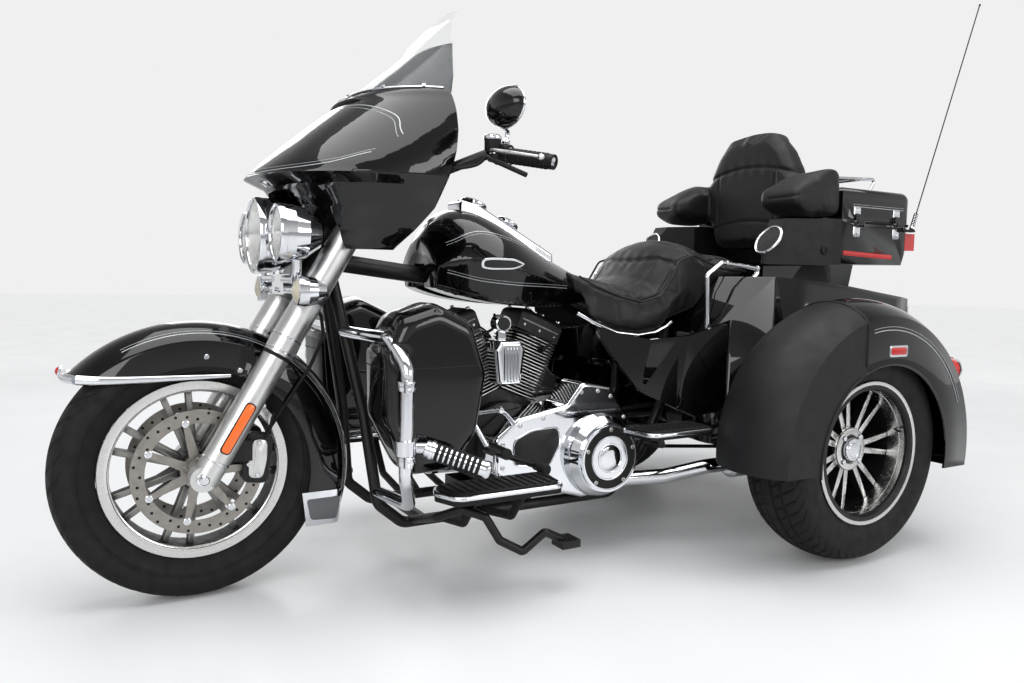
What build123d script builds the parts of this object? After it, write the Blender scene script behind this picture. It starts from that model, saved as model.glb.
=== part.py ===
from build123d import *
import os
from math import cos, radians, sin, tan

# A three-wheeled touring motorcycle: one steered wheel in front, two driven wheels behind under a wide
# tail with a trunk, a fork-mounted fairing, an air-cooled V-twin engine and a passenger top case.
# X points to the rider's left, Y to the rear and Z up, in millimetres. The pieces are drawn with the
# front axle above Y = 0, and write() moves them so that the middle of the whole length is at Y = 0.

# Overall sizes and the fits
WHEELBASE = 1690
WIDTH = 1395
SEAT_GAP = 0.3
SHEET = 4

# Wheels and tyres
FRONT_TYRE_RADIUS = 318
FRONT_TYRE_WIDTH = 130
FRONT_BEAD_RADIUS = 203
FRONT_BEAD_WIDTH = 76
REAR_TYRE_RADIUS = 320
REAR_TYRE_WIDTH = 205
REAR_BEAD_RADIUS = 190
REAR_BEAD_WIDTH = 176
FLANGE_HEIGHT = 14.5
FLANGE_THICKNESS = 5
BARREL_THICKNESS = 12
SPOKE_PAIRS = 7
SPOKE_SPLAY = 9
REAR_TRACK = 1124
FRONT_HUB_RADIUS = 46
FRONT_HUB_LENGTH = 96
REAR_HUB_RADIUS = 62
REAR_DISH = 72
AXLE_RADIUS = 12.5
REAR_SHAFT_RADIUS = 20

# Front brakes
DISC_RADIUS = 150
DISC_INNER_RADIUS = 118
DISC_THICKNESS = 5
DISC_X = 66
CARRIER_ARMS = 7
CALIPER_LENGTH = 120
CALIPER_WIDTH = 46

# Steering
RAKE = 26
TRAIL = 99
FORK_LEAN = 30.5
LEG_X = 130
LEG_OFFSET_Y = 7
SLIDER_RADIUS = 33
SLIDER_LENGTH = 330
TUBE_RADIUS = 36
TUBE_TOP = 690
CROWN_THICKNESS = 34
CROWN_DEPTH = 96
LOWER_CROWN_Z = 742
UPPER_CROWN_Z = 925
STEM_RADIUS = 20
HEAD_RADIUS = 34

# Front fender
FENDER_CENTRE_Y = 5
FENDER_CENTRE_Z = 300
FENDER_RADIUS = 378
FENDER_SHOULDER = 332
FENDER_HALF_WIDTH = 82
FENDER_SKIRT = 262
FENDER_FRONT_ANGLE = 136
FENDER_REAR_ANGLE = -22
FENDER_BRACKET_ALONG = 268
FENDER_LIP_Z = 540

# Lamps
HEADLAMP_Y = 150
LAMP_Z = 890
HEADLAMP_RADIUS = 95
HEADLAMP_DEPTH = 105
AUXILIARY_X = 180
AUXILIARY_Y = 163
AUXILIARY_RADIUS = 68
AUXILIARY_DEPTH = 105
SIGNAL_X = 205
SIGNAL_Y = 203
SIGNAL_Z = 755
SIGNAL_RADIUS = 36
SIGNAL_LENGTH = 70

# Fairing: height, half width, front and rear of each level section
FAIRING_SECTIONS = (
    (1252, 258, 383, 562),
    (1232, 272, 362, 566),
    (1200, 287, 320, 569),
    (1150, 298, 258, 570),
    (1100, 302, 200, 564),
    (1060, 300, 156, 555),
    (1032, 296, 130, 546),
)
FAIRING_SKIRT_SECTIONS = (
    (1032, 296, 130, 546),
    (1010, 290, 178, 538),
    (960, 274, 215, 520),
    (905, 240, 228, 480),
    (858, 204, 216, 438),
)
LAMP_ROOM_X = 112
LAMP_ROOM_Z = 1000
CROWN_ROOM_X = 182

# Screen: height, half width, front and side of each level section
SCREEN_SECTIONS = (
    (1252.3, 244, 390, 570),
    (1300, 234, 446, 580),
    (1350, 216, 506, 586),
    (1400, 192, 562, 596),
    (1450, 156, 612, 618),
    (1485, 112, 640, 645),
    (1508, 55, 658, 661),
)
DASH_Y = 470

# Handlebar: x, y and z of the left half's bends, from the clamp to the end of the grip
BAR_RADIUS = 12.7
BAR_BENDS = ((0, 432, 1004), (90, 440, 1004), (232, 520, 1040), (312, 650, 1100), (462, 735, 1068))
BAR_BEND_RADIUS = 45
GRIP_RADIUS = 18
GRIP_LENGTH = 125
MIRROR_CENTRE = (450, 621, 1183)
MIRROR_WIDTH = 150
MIRROR_DEPTH = 44
MIRROR_HEIGHT = 92

# Frame
RAIL_RADIUS = 15
RAIL_X = 125
RAIL_Z = 140
BACKBONE_RADIUS = 24
BACKBONE_END = (0, 1090, 738)
UPRIGHT_Y = 1384
UPRIGHT_TOP_Z = 655
DOWNTUBE_TOP_X = 34
HANGER_HALF = 388

# Engine
CRANK_Y = 820
CRANK_Z = 315
VEE_ANGLE = 45
DECK_HEIGHT = 150
BARREL_RADIUS = 54
HEAD_TOP = 336
ROCKER_TOP = 400
FIN_SIDE = 150
FIN_PITCH = 9.5
FIN_THICKNESS = 3.2
CRANKCASE_HALF = 106
PRIMARY_X = 112
CROSSOVER_Y = 1172
CROSSOVER_Z = 189
PRIMARY_OUTER_X = 216
CLUTCH_Y = 1072
CLUTCH_Z = 288
CLUTCH_COVER_RADIUS = 98
CLUTCH_COVER_X = 272

# Guard, lower fairings and footboards
GUARD_RADIUS = 16
GUARD_BENDS = ((60, 363, 648), (318, 388, 648), (392, 404, 586), (392, 400, 330), (300, 448, 238), (125, 430, 232))
GUARD_BEND_RADIUS = 48
POD_OUTLINE = (
    (430, 318), (368, 452), (362, 620), (404, 706), (496, 735), (590, 690), (634, 560), (606, 410), (540, 322),
)
POD_MIDDLE = (496, 528)
POD_SECTIONS = ((188, 0.9), (206, 0.96), (250, 1), (320, 1), (350, 0.955), (366, 0.86))
BOARD_X = (330, 460)
BOARD_Z = 268
BOARD_THICKNESS = 22
PASSENGER_BOARD_X = (352, 462)
PASSENGER_BOARD_Y = (1048, 1296)
PASSENGER_BOARD_Z = 372
HINGE_PIN_RADIUS = 6

# Tank sections: y, half width, bottom and top
TANK_SECTIONS = (
    (596, 128, 766, 898),
    (690, 190, 738, 985),
    (850, 198, 716, 934),
    (1020, 130, 716, 846),
    (1168, 52, 738, 772),
)

# Seat sections: y, half width, bottom and top
SEAT_SECTIONS = (
    (1026, 142, 704, 846),
    (1080, 170, 672, 812),
    (1150, 200, 640, 782),
    (1220, 214, 632, 766),
    (1290, 216, 640, 786),
    (1330, 214, 656, 838),
    (1362, 210, 676, 892),
    (1420, 205, 700, 911),
    (1480, 198, 720, 892),
    (1560, 190, 760, 872),
    (1680, 180, 790, 866),
)

# Tail: half of its plan from the front to the rear, its trunk and the fenders
TAIL_PLAN = ((250, 1400), (352, 1438), (400, 1570), (430, 1690), (430, 2100), (402, 2200), (346, 2290), (296, 2335))
TAIL_HALF_WIDTH = 430
TAIL_FRONT_Y = 1400
TAIL_END_Y = 2335
TAIL_BOTTOM_Z = 305
TAIL_WALL = 6
TUNNEL_TOP_Z = 620
TRUNK_FRONT_Y = 1816
TRUNK_HALF_WIDTH = 410
TRUNK_WALL = 18
DOOR_HALF_WIDTH = 262
DOOR_TOP_Z = 632
DOOR_THICKNESS = 22
DOOR_PROUD = 4
DOOR_GAP = 3
DOOR_HINGE_X = (-190, 190)
WELL_RADIUS = 345
ARCH_RADIUS = 271
ARCH_Y = 1710
ARCH_Z = 302
REAR_FENDER_Y = 1700
REAR_FENDER_Z = 318
REAR_FENDER_RADIUS = 434
REAR_FENDER_SHOULDER = 386
REAR_FENDER_FALL = 60
REAR_FENDER_CREST_X = 596
COVER_THICKNESS = 2

# Top case
CASE_HALF_WIDTH = 332
CASE_FRONT_Y = 1931
CASE_REAR_Y = 2310
CASE_BOTTOM_Z = 862
CASE_SEAM_Z = 1004
CASE_TOP_Z = 1112
CASE_WALL = 5
CASE_CORNER = 48
CASE_LEAN = 64
LID_FRONT_GAP = 6
LID_HINGE_Y = (2010, 2215)
LID_HINGE_X = 343
LID_HINGE_DROP = 8
LID_KNUCKLE_RADIUS = 9
ANTENNA_BASE = (341, 2290, 985)
ANTENNA_TIP = (341, 2614, 1804)

# Running gear at the rear
AXLE_TUBE_RADIUS = 38
AXLE_TUBE_END = 484
DIFFERENTIAL_RADIUS = 84
FRONT_PULLEY = (1130, 330)
FRONT_PULLEY_RADIUS = 45
REAR_PULLEY_RADIUS = 88
BELT_THICKNESS = 7
BELT_X = (60, 88)
PIVOT_Y = 1198.3

FRONT_AXLE_Z = FRONT_TYRE_RADIUS
REAR_AXLE_Z = REAR_TYRE_RADIUS
WHEEL_X = REAR_TRACK / 2
FRONT_END_Y = -FRONT_TYRE_RADIUS
MIDDLE_Y = (FRONT_END_Y + ANTENNA_TIP[1]) / 2


# Helpers

def face_of(points, corner=0):
    """A closed flat outline with all its corners rounded alike."""
    face = make_face(Polyline(*points, close=True))
    if corner:
        face = fillet(face.vertices(), corner)
    return face


def side_block(points, x_from, x_to, corner=0, outer_edge=0, inner_edge=0):
    """A (y, z) outline carried along X, with its two end faces' edges rounded."""
    block = extrude(Pos(x_from, 0, 0) * (Plane.YZ * face_of(points, corner)), x_to - x_from, dir=(1, 0, 0))
    if outer_edge:
        block = fillet(block.faces().sort_by(Axis.X)[-1].edges(), outer_edge)
    if inner_edge:
        block = fillet(block.faces().sort_by(Axis.X)[0].edges(), inner_edge)
    return block


def plan_block(points, z_from, z_to, corner=0, top_edge=0):
    """An (x, y) outline carried up along Z, with the edges of its top face rounded."""
    block = extrude(Pos(0, 0, z_from) * face_of(points, corner), z_to - z_from, dir=(0, 0, 1))
    if top_edge:
        block = fillet(block.faces().sort_by(Axis.Z)[-1].edges(), top_edge)
    return block


def box_between(low, high):
    """A box from its lowest to its highest corner."""
    size = [b - a for a, b in zip(low, high)]
    centre = [(a + b) / 2 for a, b in zip(low, high)]
    return Pos(*centre) * Box(*size)


def rod(points, radius, bend=0):
    """A round bar along straight runs, with the same bend radius at each corner."""
    if len(points) > 2:
        path = FilletPolyline(*points, radius=bend)
    else:
        path = Line(*points)
    return sweep(Plane(path @ 0, z_dir=path % 0) * Circle(radius), path=path)


def cross_rod(radius, x_from, x_to, y, z):
    """A round bar along X."""
    return Pos((x_from + x_to) / 2, y, z) * Rot(0, 90, 0) * Cylinder(radius, x_to - x_from)


def turned(outline):
    """An outline of (x, radius) points turned about the X axis."""
    return revolve(face_of(outline), Axis.X)


def both_sides(shape):
    """A shape and its mirror image on the other side."""
    return Part() + [shape, mirror(shape, about=Plane.YZ)]


def steering_point(z):
    """The point of the steering axis at a height."""
    return (0, z * tan(radians(RAKE)) - TRAIL, z)


def leg_point(x, along):
    """A point on a fork leg, at a distance along it from the axle."""
    return (x, LEG_OFFSET_Y + along * sin(radians(FORK_LEAN)), FRONT_AXLE_Z + along * cos(radians(FORK_LEAN)))


def leg_bar(x, start, end, radius):
    """A round bar along a fork leg."""
    return rod((leg_point(x, start), leg_point(x, end)), radius)


# Wheels

def tyre(width, radius, bead_radius, bead_width):
    """A tyre's rounded section turned about its axle."""
    half = width / 2
    shoulder = (half * 0.8, radius - width * 0.09)
    wall = (half - 0.5, (radius + bead_radius) / 2 + 8)
    heel = (bead_width / 2, bead_radius + FLANGE_HEIGHT + 2)
    left = ThreePointArc(heel, wall, shoulder)
    crown_arc = ThreePointArc(shoulder, (0, radius), (-shoulder[0], shoulder[1]))
    right = ThreePointArc((-shoulder[0], shoulder[1]), (-wall[0], wall[1]), (-heel[0], heel[1]))
    bead = Polyline((-heel[0], heel[1]), (-heel[0], bead_radius), (heel[0], bead_radius), heel)
    return revolve(make_face(left + crown_arc + right + bead), Axis.X)


def rim(bead_radius, bead_width, hub_radius, hub_from, hub_to, spoke_from, spoke_to, bore):
    """A cast wheel: barrel with two flanges, a hub and pairs of spokes."""
    inner = bead_width / 2 + SEAT_GAP
    outer = inner + FLANGE_THICKNESS
    lip = bead_radius + FLANGE_HEIGHT
    seat = bead_radius - SEAT_GAP
    bottom = seat - BARREL_THICKNESS
    barrel = turned((
        (-outer, lip), (-inner, lip), (-inner, seat), (inner, seat), (inner, lip), (outer, lip),
        (outer, bottom + 4), (outer - 8, bottom), (8 - outer, bottom), (-outer, bottom + 4),
    ))
    shape = barrel + cross_rod(hub_radius, hub_from, hub_to, 0, 0)
    spoke_outline = ((hub_radius - 8, -9), (bottom + 3, -7), (bottom + 3, 7), (hub_radius - 8, 9))
    spoke = side_block(spoke_outline, spoke_from, spoke_to)
    for pair in range(SPOKE_PAIRS):
        for side in (-SPOKE_SPLAY, SPOKE_SPLAY):
            shape += Rot(pair * 360 / SPOKE_PAIRS + side, 0, 0) * spoke
    return shape - cross_rod(bore + SEAT_GAP, hub_from - 1, hub_to + 1, 0, 0)


def front_discs():
    """Two brake discs, each on a star of arms bolted to the hub."""
    hub_end = FRONT_HUB_LENGTH / 2
    discs = []
    for side in (-1, 1):
        ring = cross_rod(DISC_RADIUS, -DISC_THICKNESS / 2, DISC_THICKNESS / 2, 0, 0)
        ring -= cross_rod(DISC_INNER_RADIUS, -DISC_THICKNESS, DISC_THICKNESS, 0, 0)
        arm_outline = ((20, -13), (DISC_INNER_RADIUS + 6, -6), (DISC_INNER_RADIUS + 6, 6), (20, 13))
        arm = side_block(arm_outline, -DISC_THICKNESS / 2, DISC_THICKNESS / 2)
        for step in range(CARRIER_ARMS):
            ring += Rot(step * 360 / CARRIER_ARMS, 0, 0) * arm
        boss_end = side * (DISC_X - hub_end)
        boss = cross_rod(FRONT_HUB_RADIUS - 6, min(0, -boss_end), max(0, -boss_end), 0, 0)
        ring = ring + boss - cross_rod(AXLE_RADIUS + SEAT_GAP, -60, 60, 0, 0)
        discs.append(Pos(side * DISC_X, 0, 0) * ring)
    return Part() + discs


# Front end

def fork_sliders():
    """The two lower legs with the axle through their feet."""
    sliders = []
    for x in (-LEG_X, LEG_X):
        leg = leg_bar(x, -10, SLIDER_LENGTH, SLIDER_RADIUS)
        foot = cross_rod(30, x - 22, x + 22, 0, FRONT_AXLE_Z)
        sliders.append(leg + foot)
    axle = cross_rod(AXLE_RADIUS, -LEG_X - 26, LEG_X + 26, 0, FRONT_AXLE_Z)
    for x in (-1, 1):
        spacer_from, spacer_to = sorted((x * (DISC_X + DISC_THICKNESS / 2 + 1), x * (LEG_X - SLIDER_RADIUS + 4)))
        axle += cross_rod(20, spacer_from, spacer_to, 0, FRONT_AXLE_Z)
    return Part() + sliders + axle


def crown(z):
    """A fork crown square to the steering axis, narrowed behind so that it turns past the downtubes."""
    half = LEG_X + TUBE_RADIUS + 8
    front, rear = -CROWN_DEPTH / 2, CROWN_DEPTH / 2 - 6
    plate = ((-half, front), (half, front), (half, 22), (70, 22), (30, rear), (-30, rear), (-70, 22), (-half, 22))
    plate = plan_block(plate, -CROWN_THICKNESS / 2, CROWN_THICKNESS / 2, 8)
    return Pos(*steering_point(z)) * Rot(-RAKE, 0, 0) * plate


def fork_crowns():
    """Both crowns, the stem and the stay for the main lamp."""
    shape = crown(LOWER_CROWN_Z) + crown(UPPER_CROWN_Z)
    shape += rod((steering_point(LOWER_CROWN_Z), steering_point(UPPER_CROWN_Z)), STEM_RADIUS)
    lamp_back = HEADLAMP_Y + HEADLAMP_DEPTH + SEAT_GAP
    shape += box_between((-30, lamp_back, UPPER_CROWN_Z + 6), (30, lamp_back + 58, UPPER_CROWN_Z + 19))
    return shape


def fork_covers():
    """The covers round the fork's upper tubes, between the sliders and the lower crown."""
    cover = leg_bar(LEG_X, SLIDER_LENGTH + SEAT_GAP, TUBE_TOP, TUBE_RADIUS) - crown(LOWER_CROWN_Z) - crown(UPPER_CROWN_Z)
    return both_sides(Part() + cover.solids())


def crowned_section(half_width, bottom, shoulder, top):
    """A fender's outline: straight sides and a round top, as (x, radius)."""
    walls = Polyline((half_width, shoulder), (half_width, bottom), (-half_width, bottom), (-half_width, shoulder))
    return make_face(walls + ThreePointArc((-half_width, shoulder), (0, top), (half_width, shoulder)))


def front_fender():
    """A deep crowned fender over the front wheel, with a level lip in front of the legs."""
    section = crowned_section(FENDER_HALF_WIDTH, FENDER_SKIRT, FENDER_SHOULDER, FENDER_RADIUS)
    section -= crowned_section(FENDER_HALF_WIDTH - SHEET, FENDER_SKIRT - 1, FENDER_SHOULDER, FENDER_RADIUS - SHEET)
    sweep_angle = FENDER_FRONT_ANGLE - FENDER_REAR_ANGLE
    shell = revolve(section, Axis.X, sweep_angle)
    shell = Pos(0, FENDER_CENTRE_Y, FENDER_CENTRE_Z) * Rot(FENDER_REAR_ANGLE, 0, 0) * shell
    reach = FENDER_RADIUS + 20
    shell -= box_between((-200, -reach, FENDER_CENTRE_Z - reach), (200, 70, FENDER_LIP_Z))
    x, y, z = leg_point(LEG_X, FENDER_BRACKET_ALONG)
    bracket = box_between((FENDER_HALF_WIDTH - SHEET, y - 26, z - 22), (LEG_X, y + 8, z + 16))
    bracket -= leg_bar(LEG_X, -10, SLIDER_LENGTH, SLIDER_RADIUS + SEAT_GAP)
    bracket = bracket.solids().sort_by(Axis.X)[0]
    return shell + bracket + mirror(bracket, about=Plane.YZ)


def front_calipers():
    """A caliper behind each leg, straddling its disc, with a bracket to the leg."""
    calipers = []
    x, y, z = leg_point(LEG_X, 62)
    place = Pos(DISC_X, y + 96, z - 30) * Rot(-8, 0, 0)
    body = place * Box(CALIPER_WIDTH, 62, CALIPER_LENGTH)
    body = fillet(body.edges().filter_by(Axis.X), 16)
    slot = cross_rod(DISC_RADIUS + 4, DISC_X - DISC_THICKNESS / 2 - 3, DISC_X + DISC_THICKNESS / 2 + 3, 0, FRONT_AXLE_Z)
    arm = box_between((DISC_X + 8, y + 20, z - 30), (DISC_X + CALIPER_WIDTH / 2 + 16, y + 80, z + 20))
    arm -= leg_bar(LEG_X, -40, SLIDER_LENGTH, SLIDER_RADIUS + SEAT_GAP)
    caliper = body + arm - slot
    return both_sides(caliper)


def headlamp():
    """The round main lamp in its shell, with a hollow bowl behind its rim."""
    outline = (
        (0, 62), (46, 54), (74, 30), (HEADLAMP_RADIUS - 12, 8), (HEADLAMP_RADIUS - 8, 2), (HEADLAMP_RADIUS, 10),
        (HEADLAMP_RADIUS, 34), (HEADLAMP_RADIUS - 6, 60), (HEADLAMP_RADIUS - 34, HEADLAMP_DEPTH), (0, HEADLAMP_DEPTH),
    )
    return Pos(0, HEADLAMP_Y, LAMP_Z) * Rot(-90, 0, 0) * revolve(Plane.XZ * face_of(outline), Axis.Z)


def lamp_shell(radius, depth):
    """A bullet lamp that looks along -Y, with its rim at the origin and a bowl behind it."""
    outline = (
        (0, depth * 0.4), (radius * 0.5, depth * 0.34), (radius * 0.82, 8), (radius - 4, 1), (radius, 6),
        (radius, depth * 0.3), (radius * 0.88, depth * 0.6), (radius * 0.5, depth * 0.93), (0, depth),
    )
    return Rot(-90, 0, 0) * revolve(Plane.XZ * face_of(outline), Axis.Z)


def auxiliary_lamps():
    """Two passing lamps and two turn signals on chrome brackets from the lower crown."""
    lamp = Pos(AUXILIARY_X, AUXILIARY_Y, LAMP_Z) * lamp_shell(AUXILIARY_RADIUS, AUXILIARY_DEPTH)
    signal = Pos(SIGNAL_X, SIGNAL_Y, SIGNAL_Z) * lamp_shell(SIGNAL_RADIUS, SIGNAL_LENGTH)
    lamp_arm = rod(((AUXILIARY_X, AUXILIARY_Y + 45, LAMP_Z - 40), (AUXILIARY_X - 10, AUXILIARY_Y + 48, LAMP_Z - 108),
                    (50, AUXILIARY_Y + 48, LAMP_Z - 108)), 11, 30)
    signal_arm = rod(((SIGNAL_X, SIGNAL_Y + 14, SIGNAL_Z), (50, SIGNAL_Y + 14, SIGNAL_Z)), 9)
    side = lamp + signal + lamp_arm + signal_arm
    shape = both_sides(side)
    shape += box_between((-60, AUXILIARY_Y + 42, SIGNAL_Z - 12), (60, AUXILIARY_Y + 58, LAMP_Z - HEADLAMP_RADIUS - SEAT_GAP))
    shape -= crown(LOWER_CROWN_Z)
    for x in (-LEG_X, LEG_X):
        shape -= leg_bar(x, SLIDER_LENGTH, TUBE_TOP, TUBE_RADIUS + SEAT_GAP)
    return shape


def level_section(z, half_width, front, rear):
    """A level D: a round front and a straight back."""
    arc = ThreePointArc((-half_width, rear), (0, front), (half_width, rear))
    return Pos(0, 0, z) * make_face(arc + Line((half_width, rear), (-half_width, rear)))


def fairing_form(thickness):
    """The fairing's closed form, drawn in by a thickness at its front and sides."""
    parts = []
    for table in (FAIRING_SECTIONS, FAIRING_SKIRT_SECTIONS):
        levels = [level_section(z, half - thickness, front + thickness, rear) for z, half, front, rear in table]
        parts.append(loft(levels, ruled=True))
    return parts[0] + parts[1]


def fairing():
    """The batwing shell, open to the rear and below, with room for the main lamp and the upper crown."""
    shell = fairing_form(0) - fairing_form(SHEET + 1)
    shell -= Pos(0, HEADLAMP_Y + 20, LAMP_Z) * Rot(-90, 0, 0) * Cylinder(HEADLAMP_RADIUS + 6, 320)
    shell -= box_between((-LAMP_ROOM_X, 90, 800), (LAMP_ROOM_X, 500, LAMP_ROOM_Z))
    shell -= box_between((-CROWN_ROOM_X, 282, 800), (CROWN_ROOM_X, 500, LAMP_ROOM_Z))
    return shell.solids().sort_by(SortBy.VOLUME)[-1]


def inner_fairing():
    """The dash that closes the back of the fairing, with a foot on the handlebar's riser."""
    x_room = SHEET + 1 + SEAT_GAP
    block = fairing_form(x_room) & box_between((-320, DASH_Y, 1060), (320, DASH_Y + 40, 1300))
    clamp_y, clamp_z = BAR_BENDS[0][1], BAR_BENDS[0][2]
    return block + box_between((-40, clamp_y, clamp_z + 18 + SEAT_GAP), (40, DASH_Y + 10, 1062))


def screen_section(z, half_width, front, side):
    """A level crescent: the bent sheet cut at one height."""
    outer = ThreePointArc((-half_width, side), (0, front), (half_width, side))
    inner = ThreePointArc((half_width, side + SHEET), (0, front + SHEET), (-half_width, side + SHEET))
    ends = Line((half_width, side), (half_width, side + SHEET)) + Line((-half_width, side + SHEET), (-half_width, side))
    return Pos(0, 0, z) * make_face(outer + inner + ends)


def windshield():
    """A bent clear screen that leans back from the fairing's top and narrows to a round top."""
    return loft([screen_section(*level) for level in SCREEN_SECTIONS], ruled=True)


def handlebar():
    """The bent bar, its clamp on the upper crown and its grips' inner ends."""
    left = list(BAR_BENDS)
    right = [(-x, y, z) for x, y, z in reversed(left[1:])]
    shape = rod(right + left[1:], BAR_RADIUS, BAR_BEND_RADIUS)
    top = steering_point(UPPER_CROWN_Z)
    riser = box_between((-48, top[1] + 10, UPPER_CROWN_Z), (48, left[0][1] + 22, left[0][2] + 18))
    shape += riser
    return shape - crown(UPPER_CROWN_Z)


def hand_controls():
    """Grips, switch housings and levers."""
    inner, outer = Vector(*BAR_BENDS[-2]), Vector(*BAR_BENDS[-1])
    along = (outer - inner).normalized()
    end = outer + along * 6
    grip = rod((end - along * GRIP_LENGTH, end), GRIP_RADIUS)
    housing = rod((end - along * (GRIP_LENGTH + 34), end - along * GRIP_LENGTH), GRIP_RADIUS + 8)
    lever_root = end - along * (GRIP_LENGTH + 14) + Vector(0, -40, -6)
    lever_tip = outer + Vector(-12, -62, -34)
    lever = rod((lever_root, lever_root + Vector(20, -22, -6), lever_tip), 6, 14)
    neck = rod((lever_root + Vector(0, 40, 6), lever_root), 11)
    side = grip + housing + neck + lever
    bar = rod((inner - along, outer + along * 6), BAR_RADIUS + SEAT_GAP)
    return both_sides(side - bar)


def mirrors():
    """An oval mirror in a domed shell on a bent stem, on a collar on each switch housing."""
    inner, outer = Vector(*BAR_BENDS[-2]), Vector(*BAR_BENDS[-1])
    along = (outer - inner).normalized()
    square = (Vector(0, 0, 1) - along * along.Z).normalized()
    root = outer + along * 6 - along * (GRIP_LENGTH + 17) + square * (GRIP_RADIUS + 8 + SEAT_GAP)
    centre = Vector(*MIRROR_CENTRE)
    head = scale(Sphere(1), by=(MIRROR_WIDTH / 2, MIRROR_DEPTH, MIRROR_HEIGHT / 2)) & box_between((-90, -90, -90), (90, 0, 90))
    head = Pos(*centre) * head
    stem = rod((root + square * 8, root + square * 30, centre + Vector(-30, -14, -20)), 6, 10)
    return both_sides(head + rod((root, root + square * 10), 10) + stem)


# Frame

def cradle_rail(radius):
    """The left tube from the steering head down, under the engine and up beside the seat."""
    head = steering_point((LOWER_CROWN_Z + UPPER_CROWN_Z) / 2)
    runs = (
        (DOWNTUBE_TOP_X, head[1] + 26, head[2] - 34), (92, 404, 430), (RAIL_X, 430, 200), (RAIL_X, 500, RAIL_Z),
        (RAIL_X, 1180, RAIL_Z), (RAIL_X, 1300, 260), (RAIL_X, UPRIGHT_Y, 420), (RAIL_X, UPRIGHT_Y, UPRIGHT_TOP_Z),
    )
    return rod(runs, radius, 40)


def frame_tubes():
    """Steering head, backbone, twin downtubes, cradle and uprights."""
    low, high = steering_point(LOWER_CROWN_Z), steering_point(UPPER_CROWN_Z)
    drop = CROWN_THICKNESS / 2 + SEAT_GAP
    axis = Vector(0, sin(radians(RAKE)), cos(radians(RAKE)))
    head_low, head_high = Vector(*low) + axis * drop, Vector(*high) - axis * drop
    shape = rod((head_low, head_high), HEAD_RADIUS)
    middle = (head_low + head_high) / 2
    shape += rod((middle + Vector(0, 10, 0), Vector(*BACKBONE_END)), BACKBONE_RADIUS)
    rail = cradle_rail(RAIL_RADIUS)
    seat_rail = rod((BACKBONE_END, (RAIL_X, UPRIGHT_Y, UPRIGHT_TOP_Z - RAIL_RADIUS)), RAIL_RADIUS)
    shape += both_sides(rail)
    shape += [seat_rail, mirror(seat_rail, about=Plane.YZ)]
    for y in (560, 1150):
        shape += cross_rod(RAIL_RADIUS, -RAIL_X, RAIL_X, y, RAIL_Z)
    shape += box_between((-RAIL_X, 740, RAIL_Z - 12), (RAIL_X, 900, CRANK_Z - 125 - SEAT_GAP))
    shape += cross_rod(RAIL_RADIUS, -HANGER_HALF, HANGER_HALF, 1600, TUNNEL_TOP_Z - RAIL_RADIUS - SEAT_GAP)
    shape += both_sides(passenger_board_mount())
    return shape - rod((low, high), STEM_RADIUS + SEAT_GAP)


# Engine

def cylinder_place(side):
    """The frame of one cylinder: its Z runs up the bore from the crank, side is -1 for the front one."""
    return Pos(0, CRANK_Y, CRANK_Z) * Rot(-side * VEE_ANGLE / 2, 0, 0)


def crankcase():
    """The crankcase with a flat deck under each cylinder, and the gearbox behind it."""
    case = cross_rod(125, -CRANKCASE_HALF, CRANKCASE_HALF, CRANK_Y, CRANK_Z)
    gearbox = side_block(((900, 190), (1080, 205), (1150, 250), (1180, 330), (1130, 420), (900, 400)),
                         -CRANKCASE_HALF, CRANKCASE_HALF, 30)
    pulley_y, pulley_z = FRONT_PULLEY
    gearbox -= cross_rod(FRONT_PULLEY_RADIUS + 16, BELT_X[0] - 5, CRANKCASE_HALF + 1, pulley_y, pulley_z)
    gearbox -= box_between((BELT_X[0] - 5, pulley_y, pulley_z - FRONT_PULLEY_RADIUS - 16),
                           (CRANKCASE_HALF + 1, 1200, pulley_z + FRONT_PULLEY_RADIUS + 16))
    gearbox += cross_rod(FRONT_PULLEY_RADIUS, BELT_X[0] - 6, BELT_X[1], pulley_y, pulley_z)
    case += gearbox
    for side in (-1, 1):
        case += cylinder_place(side) * Pos(0, 0, DECK_HEIGHT / 2) * Box(128, 118, DECK_HEIGHT)
    return case


def cylinders():
    """Two finned cylinders with heads and rocker covers, cut where the vee meets."""
    parts = []
    for side in (-1, 1):
        barrel = Pos(0, 0, (DECK_HEIGHT + HEAD_TOP) / 2) * Cylinder(BARREL_RADIUS, HEAD_TOP - DECK_HEIGHT)
        count = int((HEAD_TOP - DECK_HEIGHT) / FIN_PITCH)
        corner = FIN_SIDE * 0.18
        for index in range(count):
            fin = extrude(RectangleRounded(FIN_SIDE, FIN_SIDE, corner), FIN_THICKNESS)
            barrel += Pos(0, 0, DECK_HEIGHT + 4 + index * FIN_PITCH) * fin
        rocker = Pos(0, 0, (HEAD_TOP + ROCKER_TOP) / 2) * Box(124, 150, ROCKER_TOP - HEAD_TOP)
        rocker = fillet(rocker.faces().sort_by(Axis.Z)[-1].edges(), 20)
        cylinder = cylinder_place(side) * (barrel + rocker)
        keep_from, keep_to = sorted((CRANK_Y + side * 1.5, CRANK_Y + side * 400))
        parts.append(cylinder & box_between((-200, keep_from, 200), (200, keep_to, 900)))
    return Part() + parts


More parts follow.
